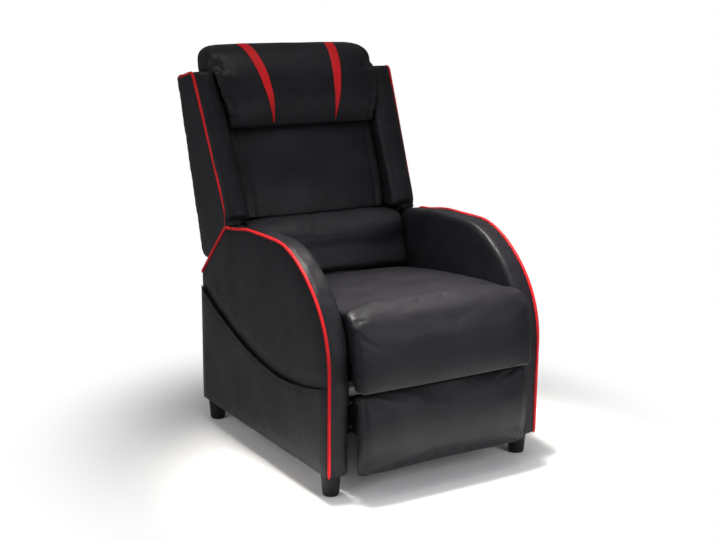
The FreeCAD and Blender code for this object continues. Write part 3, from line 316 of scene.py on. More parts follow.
def plated(name, dark, light):
    """Zinc plate: spangled tone and fine drawing lines."""
    mat, tree, shader, place = new_material(name, 0.32, 0.5, 1.0)
    cells = node(tree, "ShaderNodeTexVoronoi")
    cells.inputs["Scale"].default_value = 420.0
    tree.links.new(place, cells.inputs["Vector"])
    tree.links.new(ramp(tree, cells.outputs["Distance"], 0.1, 0.9, dark, light),
                   shader.inputs["Base Color"])
    tree.links.new(spread(tree, noise_at(tree, place, 90.0), 0.24, 0.46), shader.inputs["Roughness"])
    tree.links.new(bump(tree, noise_at(tree, place, 900.0), 0.15, 0.0002), shader.inputs["Normal"])
    return mat


def sawn_wood(name, dark, light):
    """Sawn softwood: rings stretched along the boards, with saw marks."""
    mat, tree, shader, place = new_material(name, 0.62, 0.3)
    rings = node(tree, "ShaderNodeTexWave", wave_type="RINGS", rings_direction="X")
    rings.inputs["Scale"].default_value = 22.0
    rings.inputs["Distortion"].default_value = 7.0
    rings.inputs["Detail"].default_value = 3.0
    rings.inputs["Detail Scale"].default_value = 1.6
    tree.links.new(place, rings.inputs["Vector"])
    tree.links.new(ramp(tree, rings.outputs["Fac"], 0.15, 0.9, dark, light), shader.inputs["Base Color"])
    tree.links.new(spread(tree, rings.outputs["Fac"], 0.7, 0.52), shader.inputs["Roughness"])
    tree.links.new(bump(tree, noise_at(tree, place, 260.0, 4.0), 0.3, 0.0005), shader.inputs["Normal"])
    return mat


def woven(name, dark, light):
    """Woven elastic strap: crossing threads."""
    mat, tree, shader, place = new_material(name, 0.8, 0.2)
    threads = node(tree, "ShaderNodeTexChecker")
    threads.inputs["Scale"].default_value = 900.0
    tree.links.new(place, threads.inputs["Vector"])
    tree.links.new(ramp(tree, threads.outputs["Fac"], 0.0, 1.0, dark, light), shader.inputs["Base Color"])
    tree.links.new(bump(tree, threads.outputs["Fac"], 0.4, 0.0004), shader.inputs["Normal"])
    return mat


BLACK = leather("black_leather", (0.0076, 0.0073, 0.0092), (0.0122, 0.0118, 0.0144), 0.36, 0.50, 0.12,
                640.0)
RED = leather("red_leather", (0.42, 0.0100, 0.0130), (0.54, 0.0160, 0.0210), 0.40, 0.54, 0.08, 900.0)
THREAD = woven("black_thread", (0.012, 0.012, 0.014), (0.03, 0.03, 0.034))
FOOT_PLASTIC = moulded("black_plastic", (0.003, 0.003, 0.0035), (0.007, 0.007, 0.008), 0.48)
STEEL = powder_coat("black_steel", (0.006, 0.006, 0.007), (0.013, 0.013, 0.014))
ZINC = plated("zinc_steel", (0.34, 0.35, 0.37), (0.56, 0.57, 0.60))
WOOD = sawn_wood("timber", (0.30, 0.17, 0.075), (0.52, 0.34, 0.17))
STRAP = woven("webbing", (0.008, 0.008, 0.009), (0.022, 0.022, 0.025))
SLOT_MATERIAL = {"black_leather": BLACK, "red_leather": RED, "black_plastic": FOOT_PLASTIC,
                 "black_steel": STEEL, "zinc_steel": ZINC, "timber": WOOD, "webbing": STRAP}


def dress_nodes():
    """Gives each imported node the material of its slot."""
    slots = {s["node"]: s["material_slot"] for s in frame["record"]["subparts"]}
    for name, obj in NODES.items():
        obj.data.materials.clear()
        obj.data.materials.append(SLOT_MATERIAL[slots[name]])


# Mesh helpers

def new_object(name, verts, faces, material):
    """New object from points and faces."""
    mesh = bpy.data.meshes.new(name)
    mesh.from_pydata([tuple(v) for v in verts], [], faces)
    mesh.update()
    return from_mesh(name, mesh, material)


def from_mesh(name, mesh, material):
    """New object with a mesh and one material."""
    mesh.materials.clear()
    mesh.materials.append(material)
    mesh.shade_smooth()
    obj = bpy.data.objects.new(name, mesh)
    SCENE.collection.objects.link(obj)
    return obj


def copy_of(name, *nodes):
    """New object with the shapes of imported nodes."""
    bm = bmesh.new()
    for n in nodes:
        bm.from_mesh(NODES[n].data)
    mesh = bpy.data.meshes.new(name)
    bm.to_mesh(mesh)
    bm.free()
    return from_mesh(name, mesh, BLACK)


def settle(obj):
    """Applies an object's modifiers."""
    dg = bpy.context.evaluated_depsgraph_get()
    mesh = bpy.data.meshes.new_from_object(obj.evaluated_get(dg))
    obj.modifiers.clear()
    old = obj.data
    obj.data = mesh
    mesh.name = old.name
    bpy.data.meshes.remove(old)


def remesh(obj, size):
    """Gives an object even faces of about that size."""
    mod = obj.modifiers.new("remesh", "REMESH")
    mod.mode = "VOXEL"
    mod.voxel_size = size
    settle(obj)
    obj.data.shade_smooth()


def soften(obj, times):
    """Evens out an object's surface."""
    mod = obj.modifiers.new("soften", "SMOOTH")
    mod.iterations = times
    mod.factor = 0.5
    settle(obj)


def finer(obj):
    """Divides an object's faces once, smoothly."""
    mod = obj.modifiers.new("finer", "SUBSURF")
    mod.levels = 1
    mod.render_levels = 1
    settle(obj)
    obj.data.shade_smooth()


def points(obj):
    """Points of an object's mesh."""
    co = np.empty(len(obj.data.vertices) * 3, np.float32)
    obj.data.vertices.foreach_get("co", co)
    return co.reshape(-1, 3).astype(float)


def normals(obj):
    """Normals at those points."""
    no = np.empty(len(obj.data.vertices) * 3, np.float32)
    obj.data.vertex_normals.foreach_get("vector", no)
    return no.reshape(-1, 3).astype(float)


def place_points(obj, co):
    """Puts an object's points at new places."""
    obj.data.vertices.foreach_set("co", co.astype(np.float32).ravel())
    obj.data.update()


def push(obj, amount):
    """Moves each point along its normal."""
    place_points(obj, points(obj) + normals(obj) * np.asarray(amount)[:, None])


def fit_box(obj, low, high):
    """Stretches an object so that its box becomes the given one."""
    co = points(obj)
    for k in range(3):
        near, far = co[:, k].min(), co[:, k].max()
        co[:, k] = low[k] + (co[:, k] - near) * (high[k] - low[k]) / (far - near)
    place_points(obj, co)


def ripple(co, length, seed):
    """Smooth unevenness between -1 and 1, with features of about that length."""
    rng = np.random.default_rng(seed)
    total = np.zeros(len(co))
    for _ in range(9):
        way = rng.normal(size=3)
        way /= np.linalg.norm(way)
        k = 2 * math.pi / (length * rng.uniform(0.7, 1.5))
        total += np.sin(co @ way * k + rng.uniform(0, 2 * math.pi))
    return total / 4.5


def ease(value, low, high):
    """Smooth step from 0 at low to 1 at high."""
    t = np.clip((np.asarray(value, float) - low) / (high - low), 0, 1)
    return t * t * (3 - 2 * t)


def dent(distance, width):
    """Shape of a sewn groove across its line."""
    return np.exp(-(np.asarray(distance) / width) ** 2)


def most(*weights):
    """Largest of several weights at each point."""
    return np.maximum.reduce(weights)


def ring_faces(rings, count):
    """Faces of a stack of rings with as many points each, closed at both ends."""
    faces = []
    for j in range(rings - 1):
        for i in range(count):
            a = j * count + i
            b = j * count + (i + 1) % count
            faces.append((a, b, b + count, a + count))
    faces.append(tuple(reversed(range(count))))
    faces.append(tuple(range((rings - 1) * count, rings * count)))
    return faces


def outward(obj):
    """Turns every face outward."""
    bm = bmesh.new()
    bm.from_mesh(obj.data)
    bmesh.ops.recalc_face_normals(bm, faces=bm.faces)
    bm.to_mesh(obj.data)
    bm.free()


def join(obj, verts, faces):
    """Adds more faces to an object's mesh."""
    bm = bmesh.new()
    bm.from_mesh(obj.data)
    made = [bm.verts.new(tuple(v)) for v in verts]
    bm.verts.index_update()
    for f in faces:
        bm.faces.new([made[i] for i in f])
    bm.to_mesh(obj.data)
    bm.free()
    obj.data.shade_smooth()


def surface_of(obj):
    """Search tree of an object's faces."""
    mesh = obj.data
    return BVHTree.FromPolygons([v.co for v in mesh.vertices], [f.vertices for f in mesh.polygons])


def mirror_of(obj, name):
    """Copy of an object on the chair's other side."""
    mesh = obj.data.copy()
    mesh.name = name
    mesh.transform(Matrix.Diagonal((-1, 1, 1, 1)))
    mesh.flip_normals()
    return from_mesh(name, mesh, obj.data.materials[0])


def keep(obj, body, slot, *nodes):
    """Ties a piece to its body and hides the nodes that it stands for; the slot argument is not used."""
    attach(obj, body)
    if nodes:
        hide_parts(*nodes)


def swell(obj, pin, pressure, cap, grow=0.0, frames=20):
    """Fills a cushion with air while its pinned points hold; no point moves further than cap."""
    rest = points(obj)
    group = obj.vertex_groups.new(name="pin")
    for i in np.nonzero(pin > 0.01)[0]:
        group.add([int(i)], float(pin[i]), "REPLACE")
    mod = obj.modifiers.new("cloth", "CLOTH")
    cloth = mod.settings
    for key, value in CLOTH.items():
        setattr(cloth, key, value)
    cloth.use_pressure = True
    cloth.uniform_pressure_force = pressure
    cloth.shrink_min = -grow
    cloth.vertex_group_mass = "pin"
    cloth.effector_weights.gravity = 0.0
    mod.collision_settings.use_collision = False
    mod.point_cache.frame_start = 1
    mod.point_cache.frame_end = frames
    for f in range(1, frames + 1):
        SCENE.frame_set(f)
    settle(obj)
    SCENE.frame_set(1)
    moved = points(obj) - rest
    far = np.linalg.norm(moved, axis=1)
    moved *= np.minimum(1.0, cap / np.maximum(far, 1e-9))[:, None]
    place_points(obj, rest + moved)
    obj.vertex_groups.clear()


def tube(path, radius, sides=14):
    """Round tube along points, with slightly uneven radius and domed ends."""
    path = np.array(path, float)
    count = len(path)
    along = np.gradient(path, axis=0)
    along /= np.linalg.norm(along, axis=1)[:, None]
    side = np.cross(along[0], [1.0, 0.0, 0.0])
    side /= np.linalg.norm(side)
    verts = []
    wobble = 1.0 + 0.03 * ripple(path, 0.05, 5)
    for i in range(count):
        side = side - along[i] * (side @ along[i])
        side /= np.linalg.norm(side)
        other = np.cross(along[i], side)
        end = min(i, count - 1 - i)
        r = radius * wobble[i] * (0.0, 0.72, 0.95)[end] if end < 3 else radius * wobble[i]
        r = max(r, radius * 0.02)
        for k in range(sides):
            a = 2 * math.pi * k / sides
            verts.append(path[i] + (side * math.cos(a) + other * math.sin(a)) * r)
    return verts, ring_faces(count, sides)


def along_path(path, step):
    """Points at an even step along a polyline."""
    path = np.array(path, float)
    run = np.concatenate([[0.0], np.cumsum(np.linalg.norm(np.diff(path, axis=0), axis=1))])
    count = max(2, int(round(run[-1] / step)) + 1)
    at = np.linspace(0.0, run[-1], count)
    return np.stack([np.interp(at, run, path[:, k]) for k in range(3)], axis=1)


def stitch_row(path, out, pitch=0.0052, length=0.0036, thick=0.00045):
    """Row of single stitches along a path; out gives the outward direction at each point."""
    spots = along_path(path, pitch)
    verts = []
    faces = []
    for i in range(len(spots) - 1):
        way = spots[i + 1] - spots[i]
        way /= np.linalg.norm(way)
        up = out(spots[i])
        up = up - way * (up @ way)
        up /= np.linalg.norm(up)
        across = np.cross(way, up)
        base = len(verts)
        for t, r in ((-0.5, 0.15), (-0.36, 0.85), (0.0, 1.0), (0.36, 0.85), (0.5, 0.15)):
            lift = thick * (0.9 if abs(t) < 0.45 else -0.3)
            for k in range(6):
                a = math.pi * k / 3
                verts.append(spots[i] + way * (length * t) + up * lift
                             + (across * math.cos(a) + up * math.sin(a)) * thick * r)
        for s in range(4):
            for k in range(6):
                n = (k + 1) % 6
                here = base + s * 6
                faces.append((here + k, here + n, here + 6 + n, here + 6 + k))
        faces.append(tuple(base + k for k in reversed(range(6))))
        faces.append(tuple(base + 24 + k for k in range(6)))
    return verts, faces


# Arms

def arm_outline(inset):
    """Depth and height round an arm's side, from the front's foot over the top to the rear's foot."""
    rear = ARM_DEPTH - inset
    top = ARM_TOP - inset
    slope = ARM_SLOPE - inset * math.sqrt(2)
    centre = ARM_TOP - ARM_CURVE
    radius = ARM_CURVE - inset
    turn = math.tan(math.radians(22.5))
    corner = max(ARM_CORNER - inset, 0.001)
    heel = max(ARM_HEEL - inset, 0.001)
    run = [(inset, FOOT_H)]
    for k in range(33):
        a = math.radians(90.0 * k / 32)
        run.append((ARM_CURVE - radius * math.cos(a), centre + radius * math.sin(a)))
    start = slope - top - corner * turn
    for k in range(1, 16):
        run.append((ARM_CURVE + (start - ARM_CURVE) * k / 16, top))
    for k in range(9):
        a = math.radians(45.0 * k / 8)
        run.append((start + corner * math.sin(a), top - corner * (1 - math.cos(a))))
    low = slope - rear - heel * turn
    for k in range(7):
        a = math.radians(45.0 - 45.0 * k / 6)
        run.append((rear - heel * (1 - math.cos(a)), low + heel * math.sin(a)))
    run.append((rear, FOOT_H))
    deep = np.array([d for d, _ in run])
    crown = ARM_CROWN * ease(deep, 0.06, 0.26) * (1 - ease(deep, 0.40, 0.535))
    high = np.array([z for _, z in run]) > centre
    return [(d, z + c * h) for (d, z), c, h in zip(run, crown, high)]


def mouth(d):
    """Height of the pocket's mouth at a depth."""
    d = np.asarray(d, float)
    rear = ARM_DEPTH - POCKET_INSET
    back = np.clip((d - MOUTH_LOW_AT) / (rear - MOUTH_LOW_AT), 0, 1)
    ahead = np.clip((MOUTH_LOW_AT - d) / (MOUTH_LOW_AT - POCKET_INSET), 0, 1)
    return MOUTH_LOW + (MOUTH_REAR - MOUTH_LOW) * back ** 1.75 + (MOUTH_FRONT - MOUTH_LOW) * ahead ** 1.95


def ring_length(loop):
    """Length of an outline."""
    return float(np.linalg.norm(np.diff(np.array(loop), axis=0), axis=1).sum())


def make_arm():
    """Padded cover of the left arm."""
    rings = [(ARM_IN + 0.0005, 0.0120), (ARM_IN + 0.0016, 0.0070), (ARM_IN + 0.0045, 0.0030),
             (ARM_IN + 0.0120, 0.0002), (ARM_OUT - 0.0030, 0.0002), (ARM_OUT - 0.0004, 0.0030)]
    count = 260
    verts = []
    for x, inset in rings:
        loop = [(x, ARM_FRONT + d, z) for d, z in arm_outline(inset)]
        loop.append(loop[0])
        verts += [tuple(p) for p in along_path(loop, ring_length(loop) / count)[:count]]
    arm = new_object("left_arm_cover", verts, ring_faces(len(rings), count), BLACK)
    outward(arm)
    remesh(arm, FINE_VOXEL)
    soften(arm, 3)
    co = points(arm)
    no = normals(arm)
    rim = along_path([(0.0, d, z) for d, z in arm_outline(0.0)], 0.006)
    edge = KDTree(len(rim))
    for i, p in enumerate(rim):
        edge.insert(Vector(p), i)
    edge.balance()
    d = co[:, 1] - ARM_FRONT
    far = np.array([edge.find(Vector((0.0, a, b)))[2] for a, b in zip(d, co[:, 2])])
    far = np.minimum(far, co[:, 2] - FOOT_H + 0.02)
    above = ease(co[:, 2] - mouth(d), 0.0, 0.05)
    outer = ease(no[:, 0], 0.4, 0.9)
    inner = ease(-no[:, 0], 0.4, 0.9)
    fill = 1 - np.exp(-np.maximum(far, 0) / ARM_FILL)
    band = 1 - most(outer, inner)
    amount = outer * fill * (ARM_SLACK + ARM_BULGE * above) + inner * fill * ARM_SLACK
    amount += 0.0005 * ripple(co, 0.075, 11) * (0.3 + 0.7 * fill)
    amount += band * 0.0006 * ripple(co, 0.045, 12)
    amount -= 0.0016 * dent(co[:, 0] - (ARM_OUT - ARM_SEAM_IN), 0.0028) * band
    push(arm, amount)
    finer(arm)
    return arm


def make_arm_welt():
    """Red piping along the left arm's outer edge."""
    run = [(ARM_OUT, ARM_FRONT + d, z) for d, z in arm_outline(PIPING_R / 2)[:-3]]
    run[0] = (ARM_OUT, run[0][1], FOOT_H - 0.001)
    path = along_path(run, 0.006)
    verts, faces = tube(path, PIPING_R)
    return new_object("left_arm_welt", verts, faces, RED)


def make_pocket():
    """Pocket panel sewn to the arm at the front, rear and foot, with a rolled hem at its mouth."""
    front = POCKET_INSET
    rear = ARM_DEPTH - 0.004
    across = 110
    upward = 44
    low = FOOT_H + 0.0015
    verts = []
    for j in range(upward + 1):
        for i in range(across + 1):
            d = front + (rear - front) * i / across
            z = low + (float(mouth(d)) - low) * j / upward
            sewn = min(d - front, rear - d)
            hold = float(ease(sewn, -0.012, 0.030)) * float(ease(z - low, -0.02, 0.04))
            slack = 0.0009 * math.sin(d * 31.0 + 1.2) * math.sin(z * 26.0 + 0.4)
            x = ARM_OUT + POCKET_GAP + POCKET_LOOSE * hold + slack * hold
            verts.append((x, ARM_FRONT + d, z))
    faces = []
    wide = across + 1
    for j in range(upward):
        for i in range(across):
            faces.append((j * wide + i, j * wide + i + 1, (j + 1) * wide + i + 1, (j + 1) * wide + i))
    panel = new_object("left_pocket_panel", verts, faces, BLACK)
    mod = panel.modifiers.new("skin", "SOLIDIFY")
    mod.thickness = POCKET_SKIN
    mod.offset = -1.0
    settle(panel)
    hem = [Vector(verts[upward * wide + i]) + Vector((-0.0004, 0, 0)) for i in range(across + 1)]
    hem_verts, hem_faces = tube(along_path(hem, 0.006), HEM_R, 10)
    join(panel, hem_verts, hem_faces)
    outward(panel)
    panel.data.shade_smooth()
    seam = [Vector(verts[(upward - 3) * wide + i]) + Vector((0.0002, 0, 0)) for i in range(2, across - 1)]
    row_verts, row_faces = stitch_row(seam, lambda p: np.array([1.0, 0.0, 0.0]))
    row = new_object("left_pocket_stitches", row_verts, row_faces, THREAD)
    return panel, row


def make_foot(name, centre):
    """Turned foot: domed glide, tapered body, collar under the arm."""
    profile = [(0.0165, 0.0), (0.0188, 0.0008), (0.0200, 0.0026), (0.0203, 0.0052), (0.0198, 0.0060),
               (0.0198, 0.0068), (0.0208, 0.0076), (0.0212, 0.0100), (0.0222, 0.0260), (0.0236, 0.0420),
               (0.0245, 0.0500), (0.0246, 0.0512), (0.0240, 0.0518), (0.0240, 0.0526), (0.0249, 0.0532),
               (0.0250, 0.0562), (0.0244, 0.0570)]
    sides = 48
    verts = []
    for r, z in profile:
        for k in range(sides):
            a = 2 * math.pi * k / sides
            verts.append((centre[0] + r * math.cos(a), centre[1] + r * math.sin(a), z))
    return new_object(name, verts, ring_faces(len(profile), sides), FOOT_PLASTIC)


def make_base():
    """Arms, piping, pockets and feet of both sides."""
    arm = make_arm()
    welt = make_arm_welt()
    pocket, stitches = make_pocket()
    for side in ("left", "right"):
        if side == "right":
            arm = mirror_of(arm, "right_arm_cover")
            welt = mirror_of(welt, "right_arm_welt")
            pocket = mirror_of(pocket, "right_pocket_panel")
            stitches = mirror_of(stitches, "right_pocket_stitches")
        keep(arm, "base", "black_leather", side + "_arm_band", side + "_arm_inner_board",
             side + "_arm_outer_board")
        keep(welt, "base", "red_leather", side + "_arm_piping")
        keep(pocket, "base", "black_leather", side + "_side_pocket")
        keep(stitches, "base", "black_leather")
        for end in ("front", "rear"):
            node_name = side + "_" + end + "_foot"
            low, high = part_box(node_name)
            foot = make_foot(side + "_" + end + "_leg", (low + high) / 2)
            keep(foot, "base", "black_plastic", node_name)


# Cushions

def snug(obj, tree):
    """Lays each point on the nearest spot of a surface."""
    co = points(obj)
    for i, p in enumerate(co):
        co[i] = tree.find_nearest(Vector(p))[0]
    place_points(obj, co)


def cushion(name, *nodes, voxel=VOXEL, rounds=3, inset=0.0):
    """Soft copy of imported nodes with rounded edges."""
    obj = copy_of(name, *nodes)
    tree = surface_of(obj)
    remesh(obj, voxel)
    soften(obj, 2)
    snug(obj, tree)
    soften(obj, rounds)
    if inset:
        push(obj, np.full(len(obj.data.vertices), -inset))
    return obj


def middle_section(name):
    """Ordered outline, as y and z, of a solid cut at the chair's middle."""
    bm = bmesh.new()
    bm.from_mesh(NODES[name].data)
    bmesh.ops.remove_doubles(bm, verts=bm.verts, dist=1e-6)
    cut = bmesh.ops.bisect_plane(bm, geom=bm.verts[:] + bm.edges[:] + bm.faces[:], plane_co=(0.0001, 0, 0),
                                 plane_no=(1, 0, 0))["geom_cut"]
    near = {}
    for e in [g for g in cut if isinstance(g, bmesh.types.BMEdge)]:
        near.setdefault(e.verts[0], []).append(e.verts[1])
        near.setdefault(e.verts[1], []).append(e.verts[0])
    first = min(near, key=lambda v: (v.co.y, v.co.z))
    loop = [first]
    before = None
    while True:
        ahead = [v for v in near[loop[-1]] if v is not before]
        before = loop[-1]
        if not ahead or ahead[0] is first:
            break
        loop.append(ahead[0])
    run = [(v.co.y, v.co.z) for v in loop]
    bm.free()
    return np.array(run)


def swept(loop, half, corner, step=0.006):
    """Closed solid with one outline all the way across and its two ends rounded over."""
    ring = np.array([(0.0, y, z) for y, z in loop] + [(0.0, loop[0][0], loop[0][1])])
    ring = along_path(ring, step)[:-1, 1:]
    ahead = np.roll(ring, -1, axis=0) - np.roll(ring, 1, axis=0)
    inward = np.stack([-ahead[:, 1], ahead[:, 0]], axis=1)
    inward /= np.linalg.norm(inward, axis=1)[:, None]
    area = np.sum(ring[:, 0] * np.roll(ring[:, 1], -1) - np.roll(ring[:, 0], -1) * ring[:, 1])
    if area < 0:
        inward = -inward
    for _ in range(6):
        inward = (np.roll(inward, 1, axis=0) + 2 * inward + np.roll(inward, -1, axis=0)) / 4
    turns = [math.radians(a) for a in (90, 70, 50, 30, 12, 0)]
    stations = [(-half + corner * (1 - math.sin(a)), corner * (1 - math.cos(a))) for a in turns]
    stations += [(x, 0.0) for x in np.linspace(-half + 2 * corner, half - 2 * corner, 80)]
    stations += [(-x, inset) for x, inset in reversed(stations[:len(turns)])]
    verts = []
    for x, inset in stations:
        verts += [(x, y, z) for y, z in ring + inward * inset]
    return verts, ring_faces(len(stations), len(ring))


def arm_face(z):
    """Depth of the arms' front at a height."""
    rise = np.clip(z - (ARM_TOP - ARM_CURVE), 0, ARM_CURVE)
    return ARM_CURVE - np.sqrt(ARM_CURVE ** 2 - rise ** 2)


def wing_front(z):
    """Depth of a wing's front edge at a height."""
    return WING_LOW_DEPTH + (z - WING_LOW) * (WING_HIGH_DEPTH - WING_LOW_DEPTH) / (WING_HIGH - WING_LOW)


def make_seat():
    """Seat cushion; returns a search tree of its surface."""
    low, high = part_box("seat_cushion")
    half = high.x
    verts, faces = swept(middle_section("seat_cushion"), half, SEAT_END_R)
    obj = new_object("seat_pad", verts, faces, BLACK)
    outward(obj)
    remesh(obj, SEAT_VOXEL)
    soften(obj, 3)
    co = points(obj)
    no = normals(obj)
    middle = 1 - (co[:, 0] / half) ** 2
    co[:, 2] += SEAT_CROWN * (middle - 0.5) * ease(no[:, 2], 0.2, 0.7)
    co[:, 1] -= SEAT_CROWN * (middle - 0.5) * ease(-no[:, 1], 0.2, 0.7)
    lip = ease(arm_face(co[:, 2]) - LIP_CLEAR - (co[:, 1] - ARM_FRONT), 0.0, LIP_FADE)
    co[:, 0] *= 1 + LIP_WIDER * lip
    place_points(obj, co)
    no = normals(obj)
    held = most(ease(-no[:, 2], 0.3, 0.7), ease(no[:, 1], 0.3, 0.7), ease(np.abs(no[:, 0]), 0.4, 0.8))
    swell(obj, held, 3.0, 0.006, frames=16)
    soften(obj, 2)
    co = points(obj)
    no = normals(obj)
    seen = most(ease(no[:, 2], 0.1, 0.5), ease(-no[:, 1], 0.1, 0.5))
    amount = 0.0010 * ripple(co * np.array([1.0, 0.6, 1.0]), 0.15, 21) * seen
    side = ease(np.abs(no[:, 0]), 0.5, 0.9) * lip
    amount -= 0.0022 * dent(co[:, 1] - low.y - 0.018, 0.0034) * side
    for s in (-1, 1):
        spot = np.array([s * (half + 0.006), low.y + 0.012, high.z - 0.040])
        off = co - spot
        far = np.linalg.norm(off, axis=1)
        turn = np.arctan2(off[:, 2], -s * off[:, 0] - off[:, 1])
        amount -= PINCH_DEEP * dent(far, PINCH_R) * (0.4 + 0.6 * np.cos(5.0 * turn + 0.6))
    push(obj, amount)
    soften(obj, 1)
    finer(obj)
    keep(obj, "seat", "black_leather", "seat_cushion")
    return surface_of(obj)


def make_covers():
    """Thin leather over the rails that would show as bare timber."""
    for name, rail, body in (("seat_side_cover", "seat_side_rails", "seat"),
                             ("seat_cross_cover", "seat_cross_rails", "seat"),
                             ("rear_rail_cover", "rear_rail", "base"),
                             ("upright_cover", "back_uprights", "back")):
        cover = cushion(name, rail, voxel=FINE_VOXEL, rounds=2)
        push(cover, COVER_T + 0.0005 * ripple(points(cover), 0.06, 25))
        finer(cover)
        keep(cover, body, "black_leather", rail)


def make_footrest_pad():
    """Padded panel of the footrest."""
    obj = cushion("footrest_cushion", "footrest_pad", "footrest_board", voxel=FINE_VOXEL, rounds=4,
                  inset=0.003)
    no = normals(obj)
    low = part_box("footrest_pad")[0]
    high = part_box("footrest_board")[1]
    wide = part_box("footrest_pad")[1]
    swell(obj, ease(no[:, 1], 0.4, 0.9), 4.0, 0.008, grow=0.003)
    soften(obj, 2)
    fit_box(obj, (low.x - 0.001, low.y - 0.002, low.z - 0.004), (wide.x + 0.001, high.y, wide.z + 0.003))
    co = points(obj)
    no = normals(obj)
    seen = ease(-no[:, 1], 0.1, 0.5)
    amount = -0.0022 * dent(np.abs(co[:, 0]) - (wide.x - 0.012), 0.0036) * seen
    amount += 0.0007 * ripple(co, 0.12, 31) * seen
    push(obj, amount)
    soften(obj, 1)
    finer(obj)
    keep(obj, "footrest", "black_leather", "footrest_pad", "footrest_board")


def make_lumbar(seat_tree):
    """Lumbar cushion, with its underside laid on the seat."""
    obj = cushion("lumbar_pad", "lumbar_cushion", inset=0.004)
    no = normals(obj)
    low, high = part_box("lumbar_cushion")
    held = most(ease(no[:, 1], 0.2, 0.6), ease(-no[:, 2], 0.4, 0.8), ease(np.abs(no[:, 0]), 0.5, 0.8))
    swell(obj, held, 2.5, 0.007, frames=16)
    soften(obj, 6)
    fit_box(obj, (low.x - 0.003, low.y, low.z), (high.x + 0.003, high.y, high.z + 0.002))
    co = points(obj)
    reach = 0.050
    above_seat = 0.6
    behind_seat = 0.400
    clear = 0.0025
    for i in np.nonzero(co[:, 2] < low.z + reach)[0]:
        hit = seat_tree.ray_cast(Vector((co[i, 0], co[i, 1], above_seat)), Vector((0, 0, -1)))[0]
        ground = (hit.z if hit else behind_seat) + clear
        share = 1 - float(ease(co[i, 2] - low.z, 0.0, reach))
        co[i, 2] += (ground - low.z) * share
    place_points(obj, co)
    soften(obj, 1)
    co = points(obj)
    seen = ease(-normals(obj)[:, 1], -0.1, 0.4)
    amount = 0.0010 * ripple(co * np.array([0.7, 1.0, 1.0]), 0.15, 41) * seen
    push(obj, amount)
    soften(obj, 1)
    finer(obj)
    keep(obj, "back", "black_leather", "lumbar_cushion")


def make_mid_back():
    """Cushion between the wings."""
    obj = cushion("mid_back_pad", "back_cushion", inset=0.003)
    no = normals(obj)
    low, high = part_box("back_cushion")
    held = most(ease(no[:, 1], 0.2, 0.6), ease(np.abs(no[:, 2]), 0.4, 0.8),
                ease(np.abs(no[:, 0]), 0.4, 0.8))
    swell(obj, held, 2.0, 0.006, frames=14)
    soften(obj, 6)
    fit_box(obj, (low.x - 0.003, low.y - 0.001, low.z - 0.003), (high.x + 0.003, high.y, high.z + 0.003))
    co = points(obj)
    co[:, 1] += MID_LEAN * ease(co[:, 2], low.z + 0.06, high.z) * (1 - ease(co[:, 1], 0.31, 0.36))
    place_points(obj, co)
    seen = ease(-normals(obj)[:, 1], 0.0, 0.5)
    half = MID_HALF + (co[:, 2] - low.z) / (high.z - low.z) * MID_FLARE
    amount = 0.0009 * ripple(co, 0.14, 51) * seen
    amount -= 0.0022 * dent(np.abs(co[:, 0]) - (half - MID_SEAM_IN), 0.0060) * seen
    push(obj, amount)
    soften(obj, 1)
    finer(obj)
    keep(obj, "back", "black_leather", "back_cushion")


def oval_stack(levels, corner, count=120):
    """Closed stack of flat rounded rings: height, half width, front and rear depth of each."""
    verts = []
    for z, half, front, rear in levels:
        for i in range(count):
            turn = math.tau * i / count
            c = math.cos(turn)
            t = math.sin(turn)
            x = half * math.copysign(abs(c) ** (2 / corner), c)
            d = (front + rear) / 2 + (rear - front) / 2 * math.copysign(abs(t) ** (2 / corner), t)
            verts.append((x, ARM_FRONT + d, z))
    return verts, ring_faces(len(levels), count)


def pillow_front(z):
    """Depth of the pillow's front panel at a height."""
    return float(np.interp(z, PILLOW_Z, PILLOW_FRONT))


